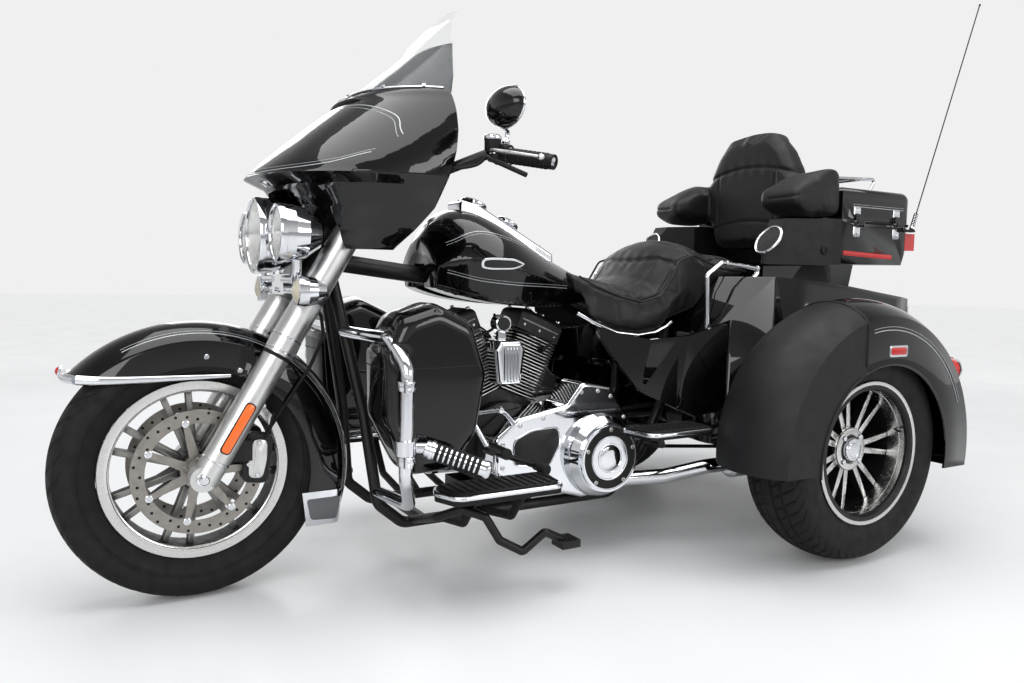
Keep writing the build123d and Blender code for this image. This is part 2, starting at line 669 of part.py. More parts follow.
def primary_cover():
    """The chain case on the left with its bulge and round clutch cover."""
    outline = (
        (728, 262), (728, 360), (800, 412), (958, 440), (1010, 502), (1112, 484), (1180, 392), (1192, 262),
        (1128, 172), (1020, 166), (780, 232),
    )
    case = side_block(outline, PRIMARY_X, PRIMARY_OUTER_X, 26, 12)
    bulge = turned(((PRIMARY_OUTER_X - 2, 0), (PRIMARY_OUTER_X - 2, 122), (PRIMARY_OUTER_X + 22, 116),
                    (CLUTCH_COVER_X - 14, 100), (CLUTCH_COVER_X - 14, 0)))
    cover = cross_rod(CLUTCH_COVER_RADIUS, CLUTCH_COVER_X - 15, CLUTCH_COVER_X, 0, 0)
    case += Pos(0, CLUTCH_Y, CLUTCH_Z) * (bulge + cover)
    return case + cross_rod(60, CRANKCASE_HALF, PRIMARY_X + 1, CRANK_Y + 20, CRANK_Z)


def cam_cover():
    """The timing cover on the right with four pushrod tubes."""
    case = side_block(((720, 250), (760, 200), (900, 200), (950, 270), (920, 380), (760, 400)),
                      -CRANKCASE_HALF - 46, -CRANKCASE_HALF, 30)
    for side in (-1, 1):
        for step in (-1, 1):
            foot = (-CRANKCASE_HALF - 26, CRANK_Y + side * 34 + step * 14, CRANK_Z + 60)
            top = (-92, CRANK_Y + side * 118 + step * 16, CRANK_Z + 330)
            case += rod((foot, top), 9)
    return case - cylinders_room()


def cylinders_room():
    """The space that the cylinders and the crankcase fill, for pieces fitted beside them."""
    room = Part()
    for side in (-1, 1):
        room += cylinder_place(side) * Pos(0, 0, ROCKER_TOP / 2) * Box(FIN_SIDE + 1, FIN_SIDE + 1, ROCKER_TOP)
    return room + cross_rod(125, -CRANKCASE_HALF, CRANKCASE_HALF, CRANK_Y, CRANK_Z)


def air_cleaner():
    """A round air cleaner on the right, on a stub from between the heads."""
    cover = cross_rod(92, -232, -128, CRANK_Y, 560)
    cover = fillet(cover.faces().sort_by(Axis.X)[0].edges(), 18)
    return cover + (cross_rod(30, -130, 0, CRANK_Y, 560) - cylinders_room())


def horn_cover():
    """The waterfall horn cover on the left, on a bracket from between the cylinders."""
    cover = side_block(((766, 498), (838, 498), (850, 596), (834, 622), (770, 622), (754, 596)), 112, 168, 10, 14)
    bracket = box_between((20, 808, 590), (114, 832, 618)) + box_between((20, 770, 592), (70, 870, 610))
    bracket = (bracket - cylinders_room()).solids().sort_by(SortBy.VOLUME)[-1]
    knob = Pos(104, 802, 666) * Rot(0, 90, 0) * Cylinder(25, 34)
    neck = box_between((98, 790, 615), (112, 814, 650))
    return cover + bracket + knob + neck


def exhaust():
    """Two headers into a crossover and a silencer under each side of the tail, each hung on a strap."""
    silencer_x, silencer_z = 290, 232
    header = rod(((-CRANKCASE_HALF - 70, 700, 420), (-200, 640, 330), (-190, 700, 200), (-188, 1080, 186),
                  (-160, CROSSOVER_Y, CROSSOVER_Z), (160, CROSSOVER_Y, CROSSOVER_Z), (240, 1300, 204),
                  (silencer_x, 1420, silencer_z), (silencer_x, 1520, silencer_z)), 22, 30)
    branch = rod(((-186, 1050, 189), (-192, 1130, 192), (-250, 1300, 206), (-silencer_x, 1424, silencer_z),
                  (-silencer_x, 1522, silencer_z)), 21, 30)
    shape = header + branch
    for x in (-silencer_x, silencer_x):
        silencer = Pos(x, 1890, silencer_z) * Rot(90, 0, 0) * Cylinder(44, 760)
        shape += fillet(silencer.edges(), 12)
        shape += box_between((x - 14, 2000, silencer_z + 30), (x + 14, 2030, TAIL_BOTTOM_Z - SEAT_GAP))
    return shape


# Guard and lower fairings

def guard_tube(radius):
    """The guard's bent tube on the left, with a radius of its own so that it can also cut its channel."""
    return rod(GUARD_BENDS, radius, GUARD_BEND_RADIUS)


def engine_guard():
    """The chrome engine guard with a clamped highway peg on each side."""
    x, y, z = GUARD_BENDS[3][0], GUARD_BENDS[3][1], 403
    clamp = Pos(x, y, z) * Cylinder(GUARD_RADIUS + 9, 34)
    arm = rod(((x, y, z), (x + 10, y + 60, z - 4)), 13)
    peg = rod(((x + 6, y + 48, z - 4), (x + 84, y + 170, z - 52)), 20)
    side = guard_tube(GUARD_RADIUS) + clamp + arm + peg - cradle_rail(RAIL_RADIUS + SEAT_GAP)
    return both_sides(side.solids().sort_by(SortBy.VOLUME)[-1])


def lower_fairings():
    """A rounded pod behind each side of the guard, with a channel where the guard's tube passes."""
    levels = []
    for x, share in POD_SECTIONS:
        points = [(POD_MIDDLE[0] + (y - POD_MIDDLE[0]) * share, POD_MIDDLE[1] + (z - POD_MIDDLE[1]) * share)
                  for y, z in POD_OUTLINE]
        levels.append(Pos(x, 0, 0) * (Plane.YZ * face_of(points, 36 * share)))
    pod = loft(levels, ruled=True) - guard_tube(GUARD_RADIUS + SEAT_GAP)
    return both_sides(pod.solids().sort_by(SortBy.VOLUME)[-1])


def rider_footboards():
    """The rider's boards on bent arms from the frame."""
    board = plan_block(((BOARD_X[0], 500), (BOARD_X[0] + 60, 474), (BOARD_X[1], 500), (BOARD_X[1], 790),
                        (BOARD_X[0], 812)), BOARD_Z, BOARD_Z + BOARD_THICKNESS, 22, 5)
    side = board
    for y in (600, 740):
        arm = rod(((RAIL_X, y, RAIL_Z + 4), (BOARD_X[0] - 40, y, RAIL_Z + 30), (BOARD_X[0] + 40, y, BOARD_Z + 2)), 11, 20)
        side += arm - cross_free_rail()
    side = (side - box_between((0, 400, 0), (RAIL_X, 900, 400))).solids().sort_by(SortBy.VOLUME)[-1]
    return both_sides(side)


def shift_lever():
    """The toe and heel shift lever on the side of the primary cover."""
    hub = cross_rod(15, PRIMARY_OUTER_X + SEAT_GAP, 322, 706, 344)
    lever = rod(((312, 640, 366), (312, 812, 298)), 8)
    return hub + lever + cross_rod(12, 308, 362, 802, 302) + cross_rod(11, 308, 350, 650, 362)


def brake_pedals():
    """The rear brake pedal on the right and the zigzag parking brake pedal on the left, on the frame."""
    park = rod(((RAIL_X, 526, RAIL_Z + 4), (290, 526, 196), (346, 568, 226), (368, 622, 204), (380, 656, 144),
                (390, 717, 109), (400, 776, 154), (402, 838, 122)), 11, 10)
    park += box_between((376, 812, 110), (430, 866, 130))
    foot = rod(((-RAIL_X, 650, RAIL_Z + 4), (-290, 650, 210), (-318, 660, 350)), 11, 24)
    foot += box_between((-350, 642, 340), (-288, 702, 362))
    rail = cross_free_rail()
    pedals = [(park - rail).solids().sort_by(Axis.X)[-1]]
    foot -= mirror(rail, about=Plane.YZ)
    return Part() + pedals + [foot.solids().sort_by(Axis.X)[0]]


def cross_free_rail():
    """The cradle rail with its fit, for brackets that hold on to it."""
    return Pos(RAIL_X, 850, RAIL_Z) * Rot(90, 0, 0) * Cylinder(RAIL_RADIUS + SEAT_GAP, 900)


# Tank, seat and panels

def tank_section(y, half_width, bottom, top):
    """A tank section: flat bottom, sides that lean out and a round top."""
    waist = bottom + (top - bottom) * 0.42
    foot = half_width * 0.8
    sides = Polyline((half_width, waist), (foot, bottom), (-foot, bottom), (-half_width, waist))
    face = make_face(sides + ThreePointArc((-half_width, waist), (0, top), (half_width, waist)))
    return Plane((0, y, 0), x_dir=(1, 0, 0), z_dir=(0, -1, 0)) * face


def fuel_tank():
    """The teardrop tank over the backbone, with a saddle that rests on it."""
    body = loft([tank_section(*section) for section in TANK_SECTIONS])
    saddle = body & box_between((-60, 1030, 600), (60, 1064, 760))
    backbone = rod((steering_point((LOWER_CROWN_Z + UPPER_CROWN_Z) / 2), BACKBONE_END), BACKBONE_RADIUS + SEAT_GAP)
    return body - backbone_room() + (saddle - backbone)


def backbone_room():
    """The tunnel that leaves room for the backbone under the tank."""
    start = Vector(*steering_point((LOWER_CROWN_Z + UPPER_CROWN_Z) / 2))
    end = Vector(*BACKBONE_END)
    up = BACKBONE_RADIUS + 6
    rear = end.Y + BACKBONE_RADIUS + 6
    tail = TANK_SECTIONS[-1][0] + 1
    side = BACKBONE_RADIUS + 12
    tunnel = ((start.Y, start.Z + up + 4), (rear, end.Z + up), (tail, end.Z + 8), (tail, 500), (start.Y, 500))
    return side_block(tunnel, -side, side)


def tank_console():
    """The console strip along the tank's top."""
    strip = side_block(((700, 900), (700, 1012), (760, 1000), (1010, 868), (1010, 820)), -46, 46, 10, 8, 8)
    return strip - loft([tank_section(*section) for section in TANK_SECTIONS])


def seat_section(y, half_width, bottom, top):
    """A seat section: straight flanks that lean in below and a crowned top."""
    flank = top - 34
    sides = Polyline((half_width, flank), (half_width * 0.9, bottom), (-half_width * 0.9, bottom), (-half_width, flank))
    face = make_face(sides + ThreePointArc((-half_width, flank), (0, top), (half_width, flank)))
    return Plane((0, y, 0), x_dir=(1, 0, 0), z_dir=(0, -1, 0)) * face


def seat():
    """The two-up seat: nose round the tank's tail, rider's bucket and passenger's pad on the tail."""
    block = loft([seat_section(*section) for section in SEAT_SECTIONS], ruled=True)
    start, end = Vector(*BACKBONE_END), Vector(0, UPRIGHT_Y + 20, UPRIGHT_TOP_Z)
    room = ((start.Y - 70, start.Z + BACKBONE_RADIUS + 4), (start.Y + 20, start.Z + BACKBONE_RADIUS + 1),
            (end.Y, end.Z + RAIL_RADIUS + 2), (end.Y, 500), (start.Y - 70, 500))
    block -= side_block(room, -RAIL_X - RAIL_RADIUS - 2, RAIL_X + RAIL_RADIUS + 2)
    block -= loft([tank_section(*section) for section in TANK_SECTIONS]) + tail_form()
    return block.solids().sort_by(SortBy.VOLUME)[-1]


def side_panels():
    """The flared panel under each side of the seat, on a stay from the frame."""
    side = side_block(((1042, 672), (1120, 642), (1220, 622), (1330, 634), (1441, 676), (1441, 420), (1352, 392),
                       (1190, 470), (1096, 590)), 180, 400, 14)
    plan = plan_block(((208, 1036), (236, 1150), (286, 1300), (352, 1450), (336, 1450), (270, 1304), (220, 1152),
                       (194, 1036)), 350, 720)
    stay = box_between((RAIL_X, 1330, 500), (284, 1350, 520)) - cross_free_upright()
    panel = (side & plan) + stay - tail_form()
    return both_sides(panel.solids().sort_by(SortBy.VOLUME)[-1])


def cross_free_upright():
    """The frame's upright with its fit, for stays that hold on to it."""
    return cradle_rail(RAIL_RADIUS + SEAT_GAP)


def tail_plan(inset):
    """The tail's plan, drawn in by a thickness: it widens from the seat, and narrows again behind."""
    half = [(x - inset, y) for x, y in TAIL_PLAN]
    half[0] = (half[0][0], half[0][1] + inset)
    half[-1] = (half[-1][0], half[-1][1] - inset)
    return plan_block(half + [(-x, y) for x, y in reversed(half)], 0, 900, 12)


def tail_form():
    """The tail's closed outer form."""
    outline = (
        (TAIL_FRONT_Y, TAIL_BOTTOM_Z), (TAIL_FRONT_Y, 640), (1560, 812), (1860, 790), (2200, 748), (2290, 722),
        (TAIL_END_Y, 648), (TAIL_END_Y, TAIL_BOTTOM_Z),
    )
    return side_block(outline, -TAIL_HALF_WIDTH, TAIL_HALF_WIDTH, 18, 16, 16) & tail_plan(0)


def rear_body():
    """The hollow tail between the fenders: a trunk behind and a tunnel over the axle."""
    floor = TAIL_BOTTOM_Z + TRUNK_WALL
    shape = tail_form()
    inside = tail_plan(TAIL_WALL)
    shape -= inside & box_between((-500, TAIL_FRONT_Y, -1), (500, TRUNK_FRONT_Y - TRUNK_WALL, TUNNEL_TOP_Z))
    shape -= box_between((-200, TAIL_FRONT_Y - 1, 0), (200, TAIL_FRONT_Y + 20, 520))
    trunk = ((TRUNK_FRONT_Y, floor), (TRUNK_FRONT_Y, 770), (2190, 726), (TAIL_END_Y - TRUNK_WALL, 640),
             (TAIL_END_Y - TRUNK_WALL, floor))
    shape -= side_block(trunk, -TRUNK_HALF_WIDTH, TRUNK_HALF_WIDTH) & tail_plan(TRUNK_WALL)
    shape -= box_between((-DOOR_HALF_WIDTH, TAIL_END_Y - 60, floor), (DOOR_HALF_WIDTH, TAIL_END_Y + 60, DOOR_TOP_Z))
    shape -= cross_rod(AXLE_TUBE_RADIUS + 20, -700, 700, WHEELBASE, REAR_AXLE_Z)
    for x in DOOR_HINGE_X:
        for step in (-1, 1):
            ear_from, ear_to = sorted((x + step * 17, x + step * 23))
            shape += box_between((ear_from, TAIL_END_Y - 1, floor - 14), (ear_to, TAIL_END_Y + 14, floor + 1))
        shape += cross_rod(4, x - 23, x + 23, TAIL_END_Y + 8, floor - 4)
    return shape


def trunk_door():
    """The trunk's door, hinged on two pins along its lower edge."""
    floor = TAIL_BOTTOM_Z + TRUNK_WALL
    door = box_between((-DOOR_HALF_WIDTH + DOOR_GAP, TAIL_END_Y + DOOR_PROUD - DOOR_THICKNESS, floor + DOOR_GAP),
                       (DOOR_HALF_WIDTH - DOOR_GAP, TAIL_END_Y + DOOR_PROUD, DOOR_TOP_Z - DOOR_GAP))
    for x in DOOR_HINGE_X:
        knuckle = cross_rod(8, x - 16, x + 16, TAIL_END_Y + 8, floor - 4)
        knuckle += box_between((x - 16, TAIL_END_Y + 1, floor - 4), (x + 16, TAIL_END_Y + 12, floor + 18))
        door += knuckle
        door -= cross_rod(4 + SEAT_GAP, x - 17, x + 17, TAIL_END_Y + 8, floor - 4)
    return door


def fender_block(grow):
    """A rear fender's closed form on the left, grown by a thickness."""
    inner_x, outer_x = TAIL_HALF_WIDTH + SEAT_GAP, WIDTH / 2 - COVER_THICKNESS + grow
    radius = REAR_FENDER_RADIUS + grow
    inner_radius, shoulder = radius - REAR_FENDER_FALL, REAR_FENDER_SHOULDER + grow
    outline = Polyline((outer_x, shoulder), (outer_x, 0), (inner_x, 0), (inner_x, inner_radius))
    crown_arc = ThreePointArc((inner_x, inner_radius), (REAR_FENDER_CREST_X, radius), (outer_x, shoulder))
    block = Pos(0, REAR_FENDER_Y, REAR_FENDER_Z) * revolve(make_face(outline + crown_arc), Axis.X)
    block -= box_between((0, 0, -400), (900, ARCH_Y, 292))
    block -= box_between((0, ARCH_Y - 1, -400), (900, 3000, 256))
    return block


def rear_fenders():
    """The wide fenders with their round arches over the rear wheels."""
    block = fender_block(0)
    inner_wall = TAIL_HALF_WIDTH + SEAT_GAP + TAIL_WALL
    block -= cross_rod(WELL_RADIUS, inner_wall, WIDTH / 2 - COVER_THICKNESS - TAIL_WALL, WHEELBASE, REAR_AXLE_Z)
    block -= cross_rod(ARCH_RADIUS, inner_wall, 900, ARCH_Y, ARCH_Z)
    block -= cross_rod(AXLE_TUBE_RADIUS + 20, 0, 900, WHEELBASE, REAR_AXLE_Z)
    return both_sides(block.solids().sort_by(SortBy.VOLUME)[-1])


def fender_covers():
    """The vinyl cover stretched over the front of each rear fender."""
    skin = fender_block(COVER_THICKNESS) - fender_block(SEAT_GAP / 2)
    skin -= box_between((0, 1600, -400), (900, 3000, 900))
    skin -= cross_rod(ARCH_RADIUS, 0, 900, ARCH_Y, ARCH_Z)
    return both_sides(skin.solids().sort_by(SortBy.VOLUME)[-1])


def side_rails():
    """The chrome passenger rail on each shoulder of the tail."""
    loop = rod(((285, 1412, 640), (285, 1404, 814), (285, 1462, 852), (285, 1628, 836), (285, 1520, 740)), 7, 12)
    return both_sides((loop - tail_form()).solids().sort_by(SortBy.VOLUME)[-1])


def rear_lamps():
    """Tail lamps and side markers on the fenders, and lamps on the top case's corners."""
    tail = Pos(628, 2092, 540) * Rot(180, 0, 0) * lamp_shell(34, 90)
    marker = Pos(WIDTH / 2 - COVER_THICKNESS - 4, 1735, 611) * Box(10, 72, 24)
    corner = box_between((CASE_HALF_WIDTH - 46, CASE_REAR_Y - 40, 914), (CASE_HALF_WIDTH, CASE_REAR_Y + 14, 972))
    lamp = tail - fender_block(SEAT_GAP)
    lamp = lamp.solids().sort_by(Axis.Y)[-1]
    marker = (marker - fender_block(0)).solids().sort_by(Axis.X)[-1]
    corner -= case_form(CASE_BOTTOM_Z, CASE_SEAM_Z, -SEAT_GAP)
    return both_sides(Part() + [lamp, marker, corner.solids().sort_by(SortBy.VOLUME)[-1]])


# Running gear at the rear

def rear_axle():
    """The axle tube with its differential, shafts to the wheels and the driven pulley."""
    shape = cross_rod(AXLE_TUBE_RADIUS, -AXLE_TUBE_END, AXLE_TUBE_END, WHEELBASE, REAR_AXLE_Z)
    shape += cross_rod(DIFFERENTIAL_RADIUS, -110, BELT_X[0] - 8, WHEELBASE, REAR_AXLE_Z)
    shape += cross_rod(REAR_PULLEY_RADIUS, BELT_X[0], BELT_X[1], WHEELBASE, REAR_AXLE_Z)
    return shape + cross_rod(REAR_SHAFT_RADIUS, -WHEEL_X - 20, WHEEL_X + 20, WHEELBASE, REAR_AXLE_Z)


def belt_loop(extra):
    """The flat outline round both pulleys, grown by a thickness, as a block."""
    front_y, front_z = FRONT_PULLEY
    front_radius, rear_radius = FRONT_PULLEY_RADIUS + extra, REAR_PULLEY_RADIUS + extra
    ends = [Pos(front_y, front_z) * Circle(front_radius), Pos(WHEELBASE, REAR_AXLE_Z) * Circle(rear_radius)]
    face = make_hull((Sketch() + ends).edges())
    return extrude(Pos(BELT_X[0], 0, 0) * (Plane.YZ * face), BELT_X[1] - BELT_X[0], dir=(1, 0, 0))


def drive_belt():
    """The toothed belt's loop from the gearbox to the axle."""
    return belt_loop(BELT_THICKNESS + SEAT_GAP) - belt_loop(SEAT_GAP)


def swingarm():
    """The arms that carry the axle, with their pivot behind the gearbox and the two shocks."""
    pivot = cross_rod(18, -100, 100, PIVOT_Y, 330)
    arm = rod(((84, PIVOT_Y, 330), (164, 1292, 330), (200, WHEELBASE - AXLE_TUBE_RADIUS - 6, REAR_AXLE_Z)), 22, 30)
    seat = cross_rod(AXLE_TUBE_RADIUS + 12, 176, 224, WHEELBASE, REAR_AXLE_Z)
    shock = rod(((200, WHEELBASE, REAR_AXLE_Z + 30), (200, 1610, TUNNEL_TOP_Z - 40)), 27)
    side = arm + seat + shock
    axle_room = cross_rod(AXLE_TUBE_RADIUS + SEAT_GAP, -300, 300, WHEELBASE, REAR_AXLE_Z)
    hanger = cross_rod(RAIL_RADIUS + SEAT_GAP, -500, 500, 1600, TUNNEL_TOP_Z - RAIL_RADIUS - SEAT_GAP)
    return pivot + side + mirror(side, about=Plane.YZ) - axle_room - hanger


# Passenger footboards

def passenger_footboard(side):
    """A folding board with two knuckles on its hinge pin."""
    x_from, x_to = PASSENGER_BOARD_X
    y_from, y_to = PASSENGER_BOARD_Y
    board = plan_block(((x_from, y_from), (x_to, y_from + 20), (x_to, y_to - 10), (x_from, y_to)),
                       PASSENGER_BOARD_Z, PASSENGER_BOARD_Z + 18, 16)
    pin_x, pin_z = x_from - 14, PASSENGER_BOARD_Z + 9
    for y in (y_from + 50, y_to - 50):
        knuckle = Pos(pin_x, y, pin_z) * Rot(90, 0, 0) * Cylinder(HINGE_PIN_RADIUS + 6, 36)
        board += knuckle + box_between((pin_x, y - 18, PASSENGER_BOARD_Z + 1), (x_from + 10, y + 18, pin_z + 8))
    board -= Pos(pin_x, (y_from + y_to) / 2, pin_z) * Rot(90, 0, 0) * Cylinder(HINGE_PIN_RADIUS + SEAT_GAP, 400)
    return board if side > 0 else mirror(board, about=Plane.YZ)


def passenger_board_mount():
    """The bent arm and the hinge pin of the left passenger board."""
    pin_x, pin_z = PASSENGER_BOARD_X[0] - 14, PASSENGER_BOARD_Z + 9
    y_from, y_to = PASSENGER_BOARD_Y
    pin = Pos(pin_x, (y_from + y_to) / 2, pin_z) * Rot(90, 0, 0) * Cylinder(HINGE_PIN_RADIUS, y_to - y_from - 20)
    arm = rod(((RAIL_X, 1312, 284), (240, 1290, 300), (pin_x, 1190, pin_z - 20), (pin_x, 1172, pin_z)), 10, 8)
    return pin + arm


# Top case

def case_form(z_from, z_to, inset, front_gap=0):
    """The top case's closed form between two heights, its rear wall leaning in below the seam."""
    half, front, rear = CASE_HALF_WIDTH - inset, CASE_FRONT_Y + inset + front_gap, CASE_REAR_Y - inset
    corner = CASE_CORNER - inset
    block = box_between((-half, front, z_from), (half, rear, z_to))
    block = fillet(block.edges().filter_by(Axis.Z).group_by(Axis.Y)[-1], corner)
    if z_from < CASE_SEAM_Z:
        lean = ((rear, CASE_SEAM_Z - 6), (rear - CASE_LEAN, CASE_BOTTOM_Z - 20), (rear + 90, CASE_BOTTOM_Z - 20),
                (rear + 90, CASE_SEAM_Z - 6))
        block -= side_block(lean, -500, 500)
    return block


def case_base():
    """The case's lower shell with its hinge pins and the mount under it."""
    shape = case_form(CASE_BOTTOM_Z, CASE_SEAM_Z, 0) - case_form(CASE_BOTTOM_Z + CASE_WALL, CASE_SEAM_Z + 1, CASE_WALL)
    for y in LID_HINGE_Y:
        for step in (-1, 1):
            ear_from, ear_to = sorted((y + step * 17, y + step * 22))
            shape += box_between((CASE_HALF_WIDTH - 1, ear_from, CASE_SEAM_Z - LID_HINGE_DROP - 14),
                                 (LID_HINGE_X + 6, ear_to, CASE_SEAM_Z - LID_HINGE_DROP + 6))
        shape += Pos(LID_HINGE_X, y, CASE_SEAM_Z - LID_HINGE_DROP) * Rot(90, 0, 0) * Cylinder(4, 44)
    mount = side_block(((1740, 700), (1740, 862), (2190, 862), (2150, 700)), -190, 190, 0)
    mount -= tail_form()
    mount = mount.solids().sort_by(Axis.Z)[-1]
    return shape + mount


def case_lid():
    """The lid, hollow below, with two knuckles along its left edge."""
    bottom = CASE_SEAM_Z + 0.5
    shape = case_form(bottom, CASE_TOP_Z, 0, LID_FRONT_GAP)
    shape = fillet(shape.faces().sort_by(Axis.Z)[-1].edges(), 30)
    shape -= case_form(bottom - 1, CASE_TOP_Z - 36, CASE_WALL, LID_FRONT_GAP)
    for y in LID_HINGE_Y:
        place = Pos(LID_HINGE_X, y, CASE_SEAM_Z - LID_HINGE_DROP) * Rot(90, 0, 0)
        knuckle = place * Cylinder(LID_KNUCKLE_RADIUS, 32)
        knuckle += box_between((CASE_HALF_WIDTH + 2, y - 16, CASE_SEAM_Z - LID_HINGE_DROP),
                               (LID_HINGE_X, y + 16, CASE_SEAM_Z + 20))
        knuckle += box_between((CASE_HALF_WIDTH - 1, y - 16, CASE_SEAM_Z + 4),
                               (CASE_HALF_WIDTH + 3, y + 16, CASE_SEAM_Z + 20))
        shape = shape + knuckle - place * Cylinder(4 + SEAT_GAP, 34)
    return shape


def luggage_rack():
    """The chrome rack on the lid: two side bars on feet and three cross bars."""
    side = rod(((200, 1990, CASE_TOP_Z - 0.2), (200, 1990, CASE_TOP_Z + 44), (190, 2290, CASE_TOP_Z + 60),
                (190, 2250, CASE_TOP_Z - 0.2)), 6, 10)
    shape = side + mirror(side, about=Plane.YZ)
    for y in (2040, 2130, 2220):
        shape += cross_rod(5, -200, 200, y, CASE_TOP_Z + 44 + (y - 1990) * 16 / 300)
    return shape - box_between((-300, 1900, 900), (300, 2400, CASE_TOP_Z))


def backrest():
    """The wrap-around backrest: a pad with a raised hump and an arm at each side."""
    half = ((0, 906), (150, 906), (196, 990), (216, 1100), (206, 1186), (160, 1262), (104, 1320), (0, 1329))
    face = face_of(list(half) + [(-x, z) for x, z in reversed(half[1:-1])], 0)
    pad = extrude(Plane((0, CASE_FRONT_Y - SEAT_GAP, 0), x_dir=(1, 0, 0), z_dir=(0, -1, 0)) * face, 74)
    pad = fillet(pad.faces().sort_by(Axis.Y)[0].edges(), 16)
    arm = side_block(((1704, 1044), (1712, 1090), (1790, 1124), (1880, 1164), (CASE_FRONT_Y - SEAT_GAP, 1164),
                      (CASE_FRONT_Y - SEAT_GAP, 1012), (1764, 1012)), 196, 344, 18, 14)
    return pad + arm + mirror(arm, about=Plane.YZ)


def speaker_pods():
    """A pod beside each end of the backrest, with a slanting face for its oval speaker."""
    plan = plan_block(((298, 1604), (345, 1880), (345, CASE_FRONT_Y - SEAT_GAP), (216, CASE_FRONT_Y - SEAT_GAP),
                       (196, 1790)), 830, 1020, 10)
    side = side_block(((1604, 852), (1700, 996), (CASE_FRONT_Y, 1004), (CASE_FRONT_Y, 858), (1850, 852)), 0, 400, 6)
    return both_sides(plan & side)


def antenna():
    """The whip antenna on a bracket at the case's left rear corner."""
    x, y, z = ANTENNA_BASE
    base, tip = Vector(*ANTENNA_BASE), Vector(*ANTENNA_TIP)
    along = (tip - base).normalized()
    bracket = box_between((CASE_HALF_WIDTH, y - 50, z - 8), (x + 8, y + 10, z))
    foot = rod((base - along * 2, base + along * 60), 7)
    whip = rod((base + along * 50, tip), 2)
    return bracket + foot + whip


# Brake hoses on the fork

def brake_hoses():
    """A hose from each caliper up behind the fork to the lower crown."""
    route = ((84, 158, 404), (89, 200, 470), (89, 262, 560), (86, 300, 640), (62, 300, 690), (54, 284, 722))
    return both_sides(rod(route, 4.5, 22) - crown(LOWER_CROWN_Z))


def axle_set(shape, x, y, z):
    """A wheel piece moved from the origin to its axle."""
    return Pos(x, y, z) * shape


def rear_rim(side):
    """A rear wheel: a deep dish outside, a brake disc inside and a cap over the shaft."""
    hub_to = REAR_BEAD_WIDTH / 2 + FLANGE_THICKNESS - REAR_DISH + 8
    shape = rim(REAR_BEAD_RADIUS, REAR_BEAD_WIDTH, REAR_HUB_RADIUS, -66, hub_to, hub_to - 32, hub_to - 8,
                REAR_SHAFT_RADIUS)
    shape += cross_rod(24, hub_to, hub_to + 8, 0, 0)
    shape += cross_rod(140, -66, -60, 0, 0) - cross_rod(REAR_HUB_RADIUS - 2, -67, -59, 0, 0)
    if side < 0:
        shape = mirror(shape, about=Plane.YZ)
    return axle_set(shape, side * WHEEL_X, WHEELBASE, REAR_AXLE_Z)


def rear_tyre(side):
    """A rear tyre."""
    shape = tyre(REAR_TYRE_WIDTH, REAR_TYRE_RADIUS, REAR_BEAD_RADIUS, REAR_BEAD_WIDTH)
    return axle_set(shape, side * WHEEL_X, WHEELBASE, REAR_AXLE_Z)


def front_tyre():
    """The front tyre."""
    shape = tyre(FRONT_TYRE_WIDTH, FRONT_TYRE_RADIUS, FRONT_BEAD_RADIUS, FRONT_BEAD_WIDTH)
    return axle_set(shape, 0, 0, FRONT_AXLE_Z)


def front_rim():
    """The front wheel's casting."""
    half = FRONT_HUB_LENGTH / 2
    shape = rim(FRONT_BEAD_RADIUS, FRONT_BEAD_WIDTH, FRONT_HUB_RADIUS, -half, half, -14, 14, AXLE_RADIUS)
    return axle_set(shape, 0, 0, FRONT_AXLE_Z)


# Every piece and the function that draws it
PIECES = {
    "front_tyre": front_tyre,
    "front_rim": front_rim,
    "front_discs": lambda: axle_set(front_discs(), 0, 0, FRONT_AXLE_Z),
    "rear_tyre_left": lambda: rear_tyre(1),
    "rear_tyre_right": lambda: rear_tyre(-1),
    "rear_rim_left": lambda: rear_rim(1),
    "rear_rim_right": lambda: rear_rim(-1),
    "fork_sliders": fork_sliders,
    "fork_crowns": fork_crowns,
    "fork_covers": fork_covers,
    "front_fender": front_fender,
    "front_calipers": front_calipers,
    "brake_hoses": brake_hoses,
    "headlamp": headlamp,
    "auxiliary_lamps": auxiliary_lamps,
    "fairing": fairing,
    "inner_fairing": inner_fairing,
    "windshield": windshield,
    "handlebar": handlebar,
    "hand_controls": hand_controls,
    "mirrors": mirrors,
    "frame_tubes": frame_tubes,
    "crankcase": crankcase,
    "cylinders": cylinders,
    "primary_cover": primary_cover,
    "cam_cover": cam_cover,
    "air_cleaner": air_cleaner,
    "horn_cover": horn_cover,
    "exhaust": exhaust,
    "engine_guard": engine_guard,
    "lower_fairings": lower_fairings,
    "rider_footboards": rider_footboards,
    "shift_lever": shift_lever,
    "brake_pedals": brake_pedals,
    "passenger_footboard_left": lambda: passenger_footboard(1),
    "passenger_footboard_right": lambda: passenger_footboard(-1),
    "fuel_tank": fuel_tank,
    "tank_console": tank_console,
    "seat": seat,
    "side_panels": side_panels,
    "rear_body": rear_body,
    "trunk_door": trunk_door,
    "rear_fenders": rear_fenders,
    "fender_covers": fender_covers,
    "side_rails": side_rails,
    "rear_lamps": rear_lamps,
    "rear_axle": rear_axle,
    "drive_belt": drive_belt,
    "swingarm": swingarm,
    "case_base": case_base,
    "case_lid": case_lid,
    "luggage_rack": luggage_rack,
    "backrest": backrest,
    "speaker_pods": speaker_pods,
    "antenna": antenna,
}


def write():
    """Draws every piece, centres the whole length and writes one file for each."""
    os.makedirs("parts", exist_ok=True)
    for name, draw in PIECES.items():
        shape = Pos(0, -MIDDLE_Y, 0) * draw()
        export_step(shape, f"parts/{name}.step")


if __name__ == "__main__":
    write()
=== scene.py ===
import math

import bmesh
import bpy
import numpy as np
from bpy.props import FloatProperty, PointerProperty
from mathutils import Matrix, Vector
from mathutils.bvhtree import BVHTree


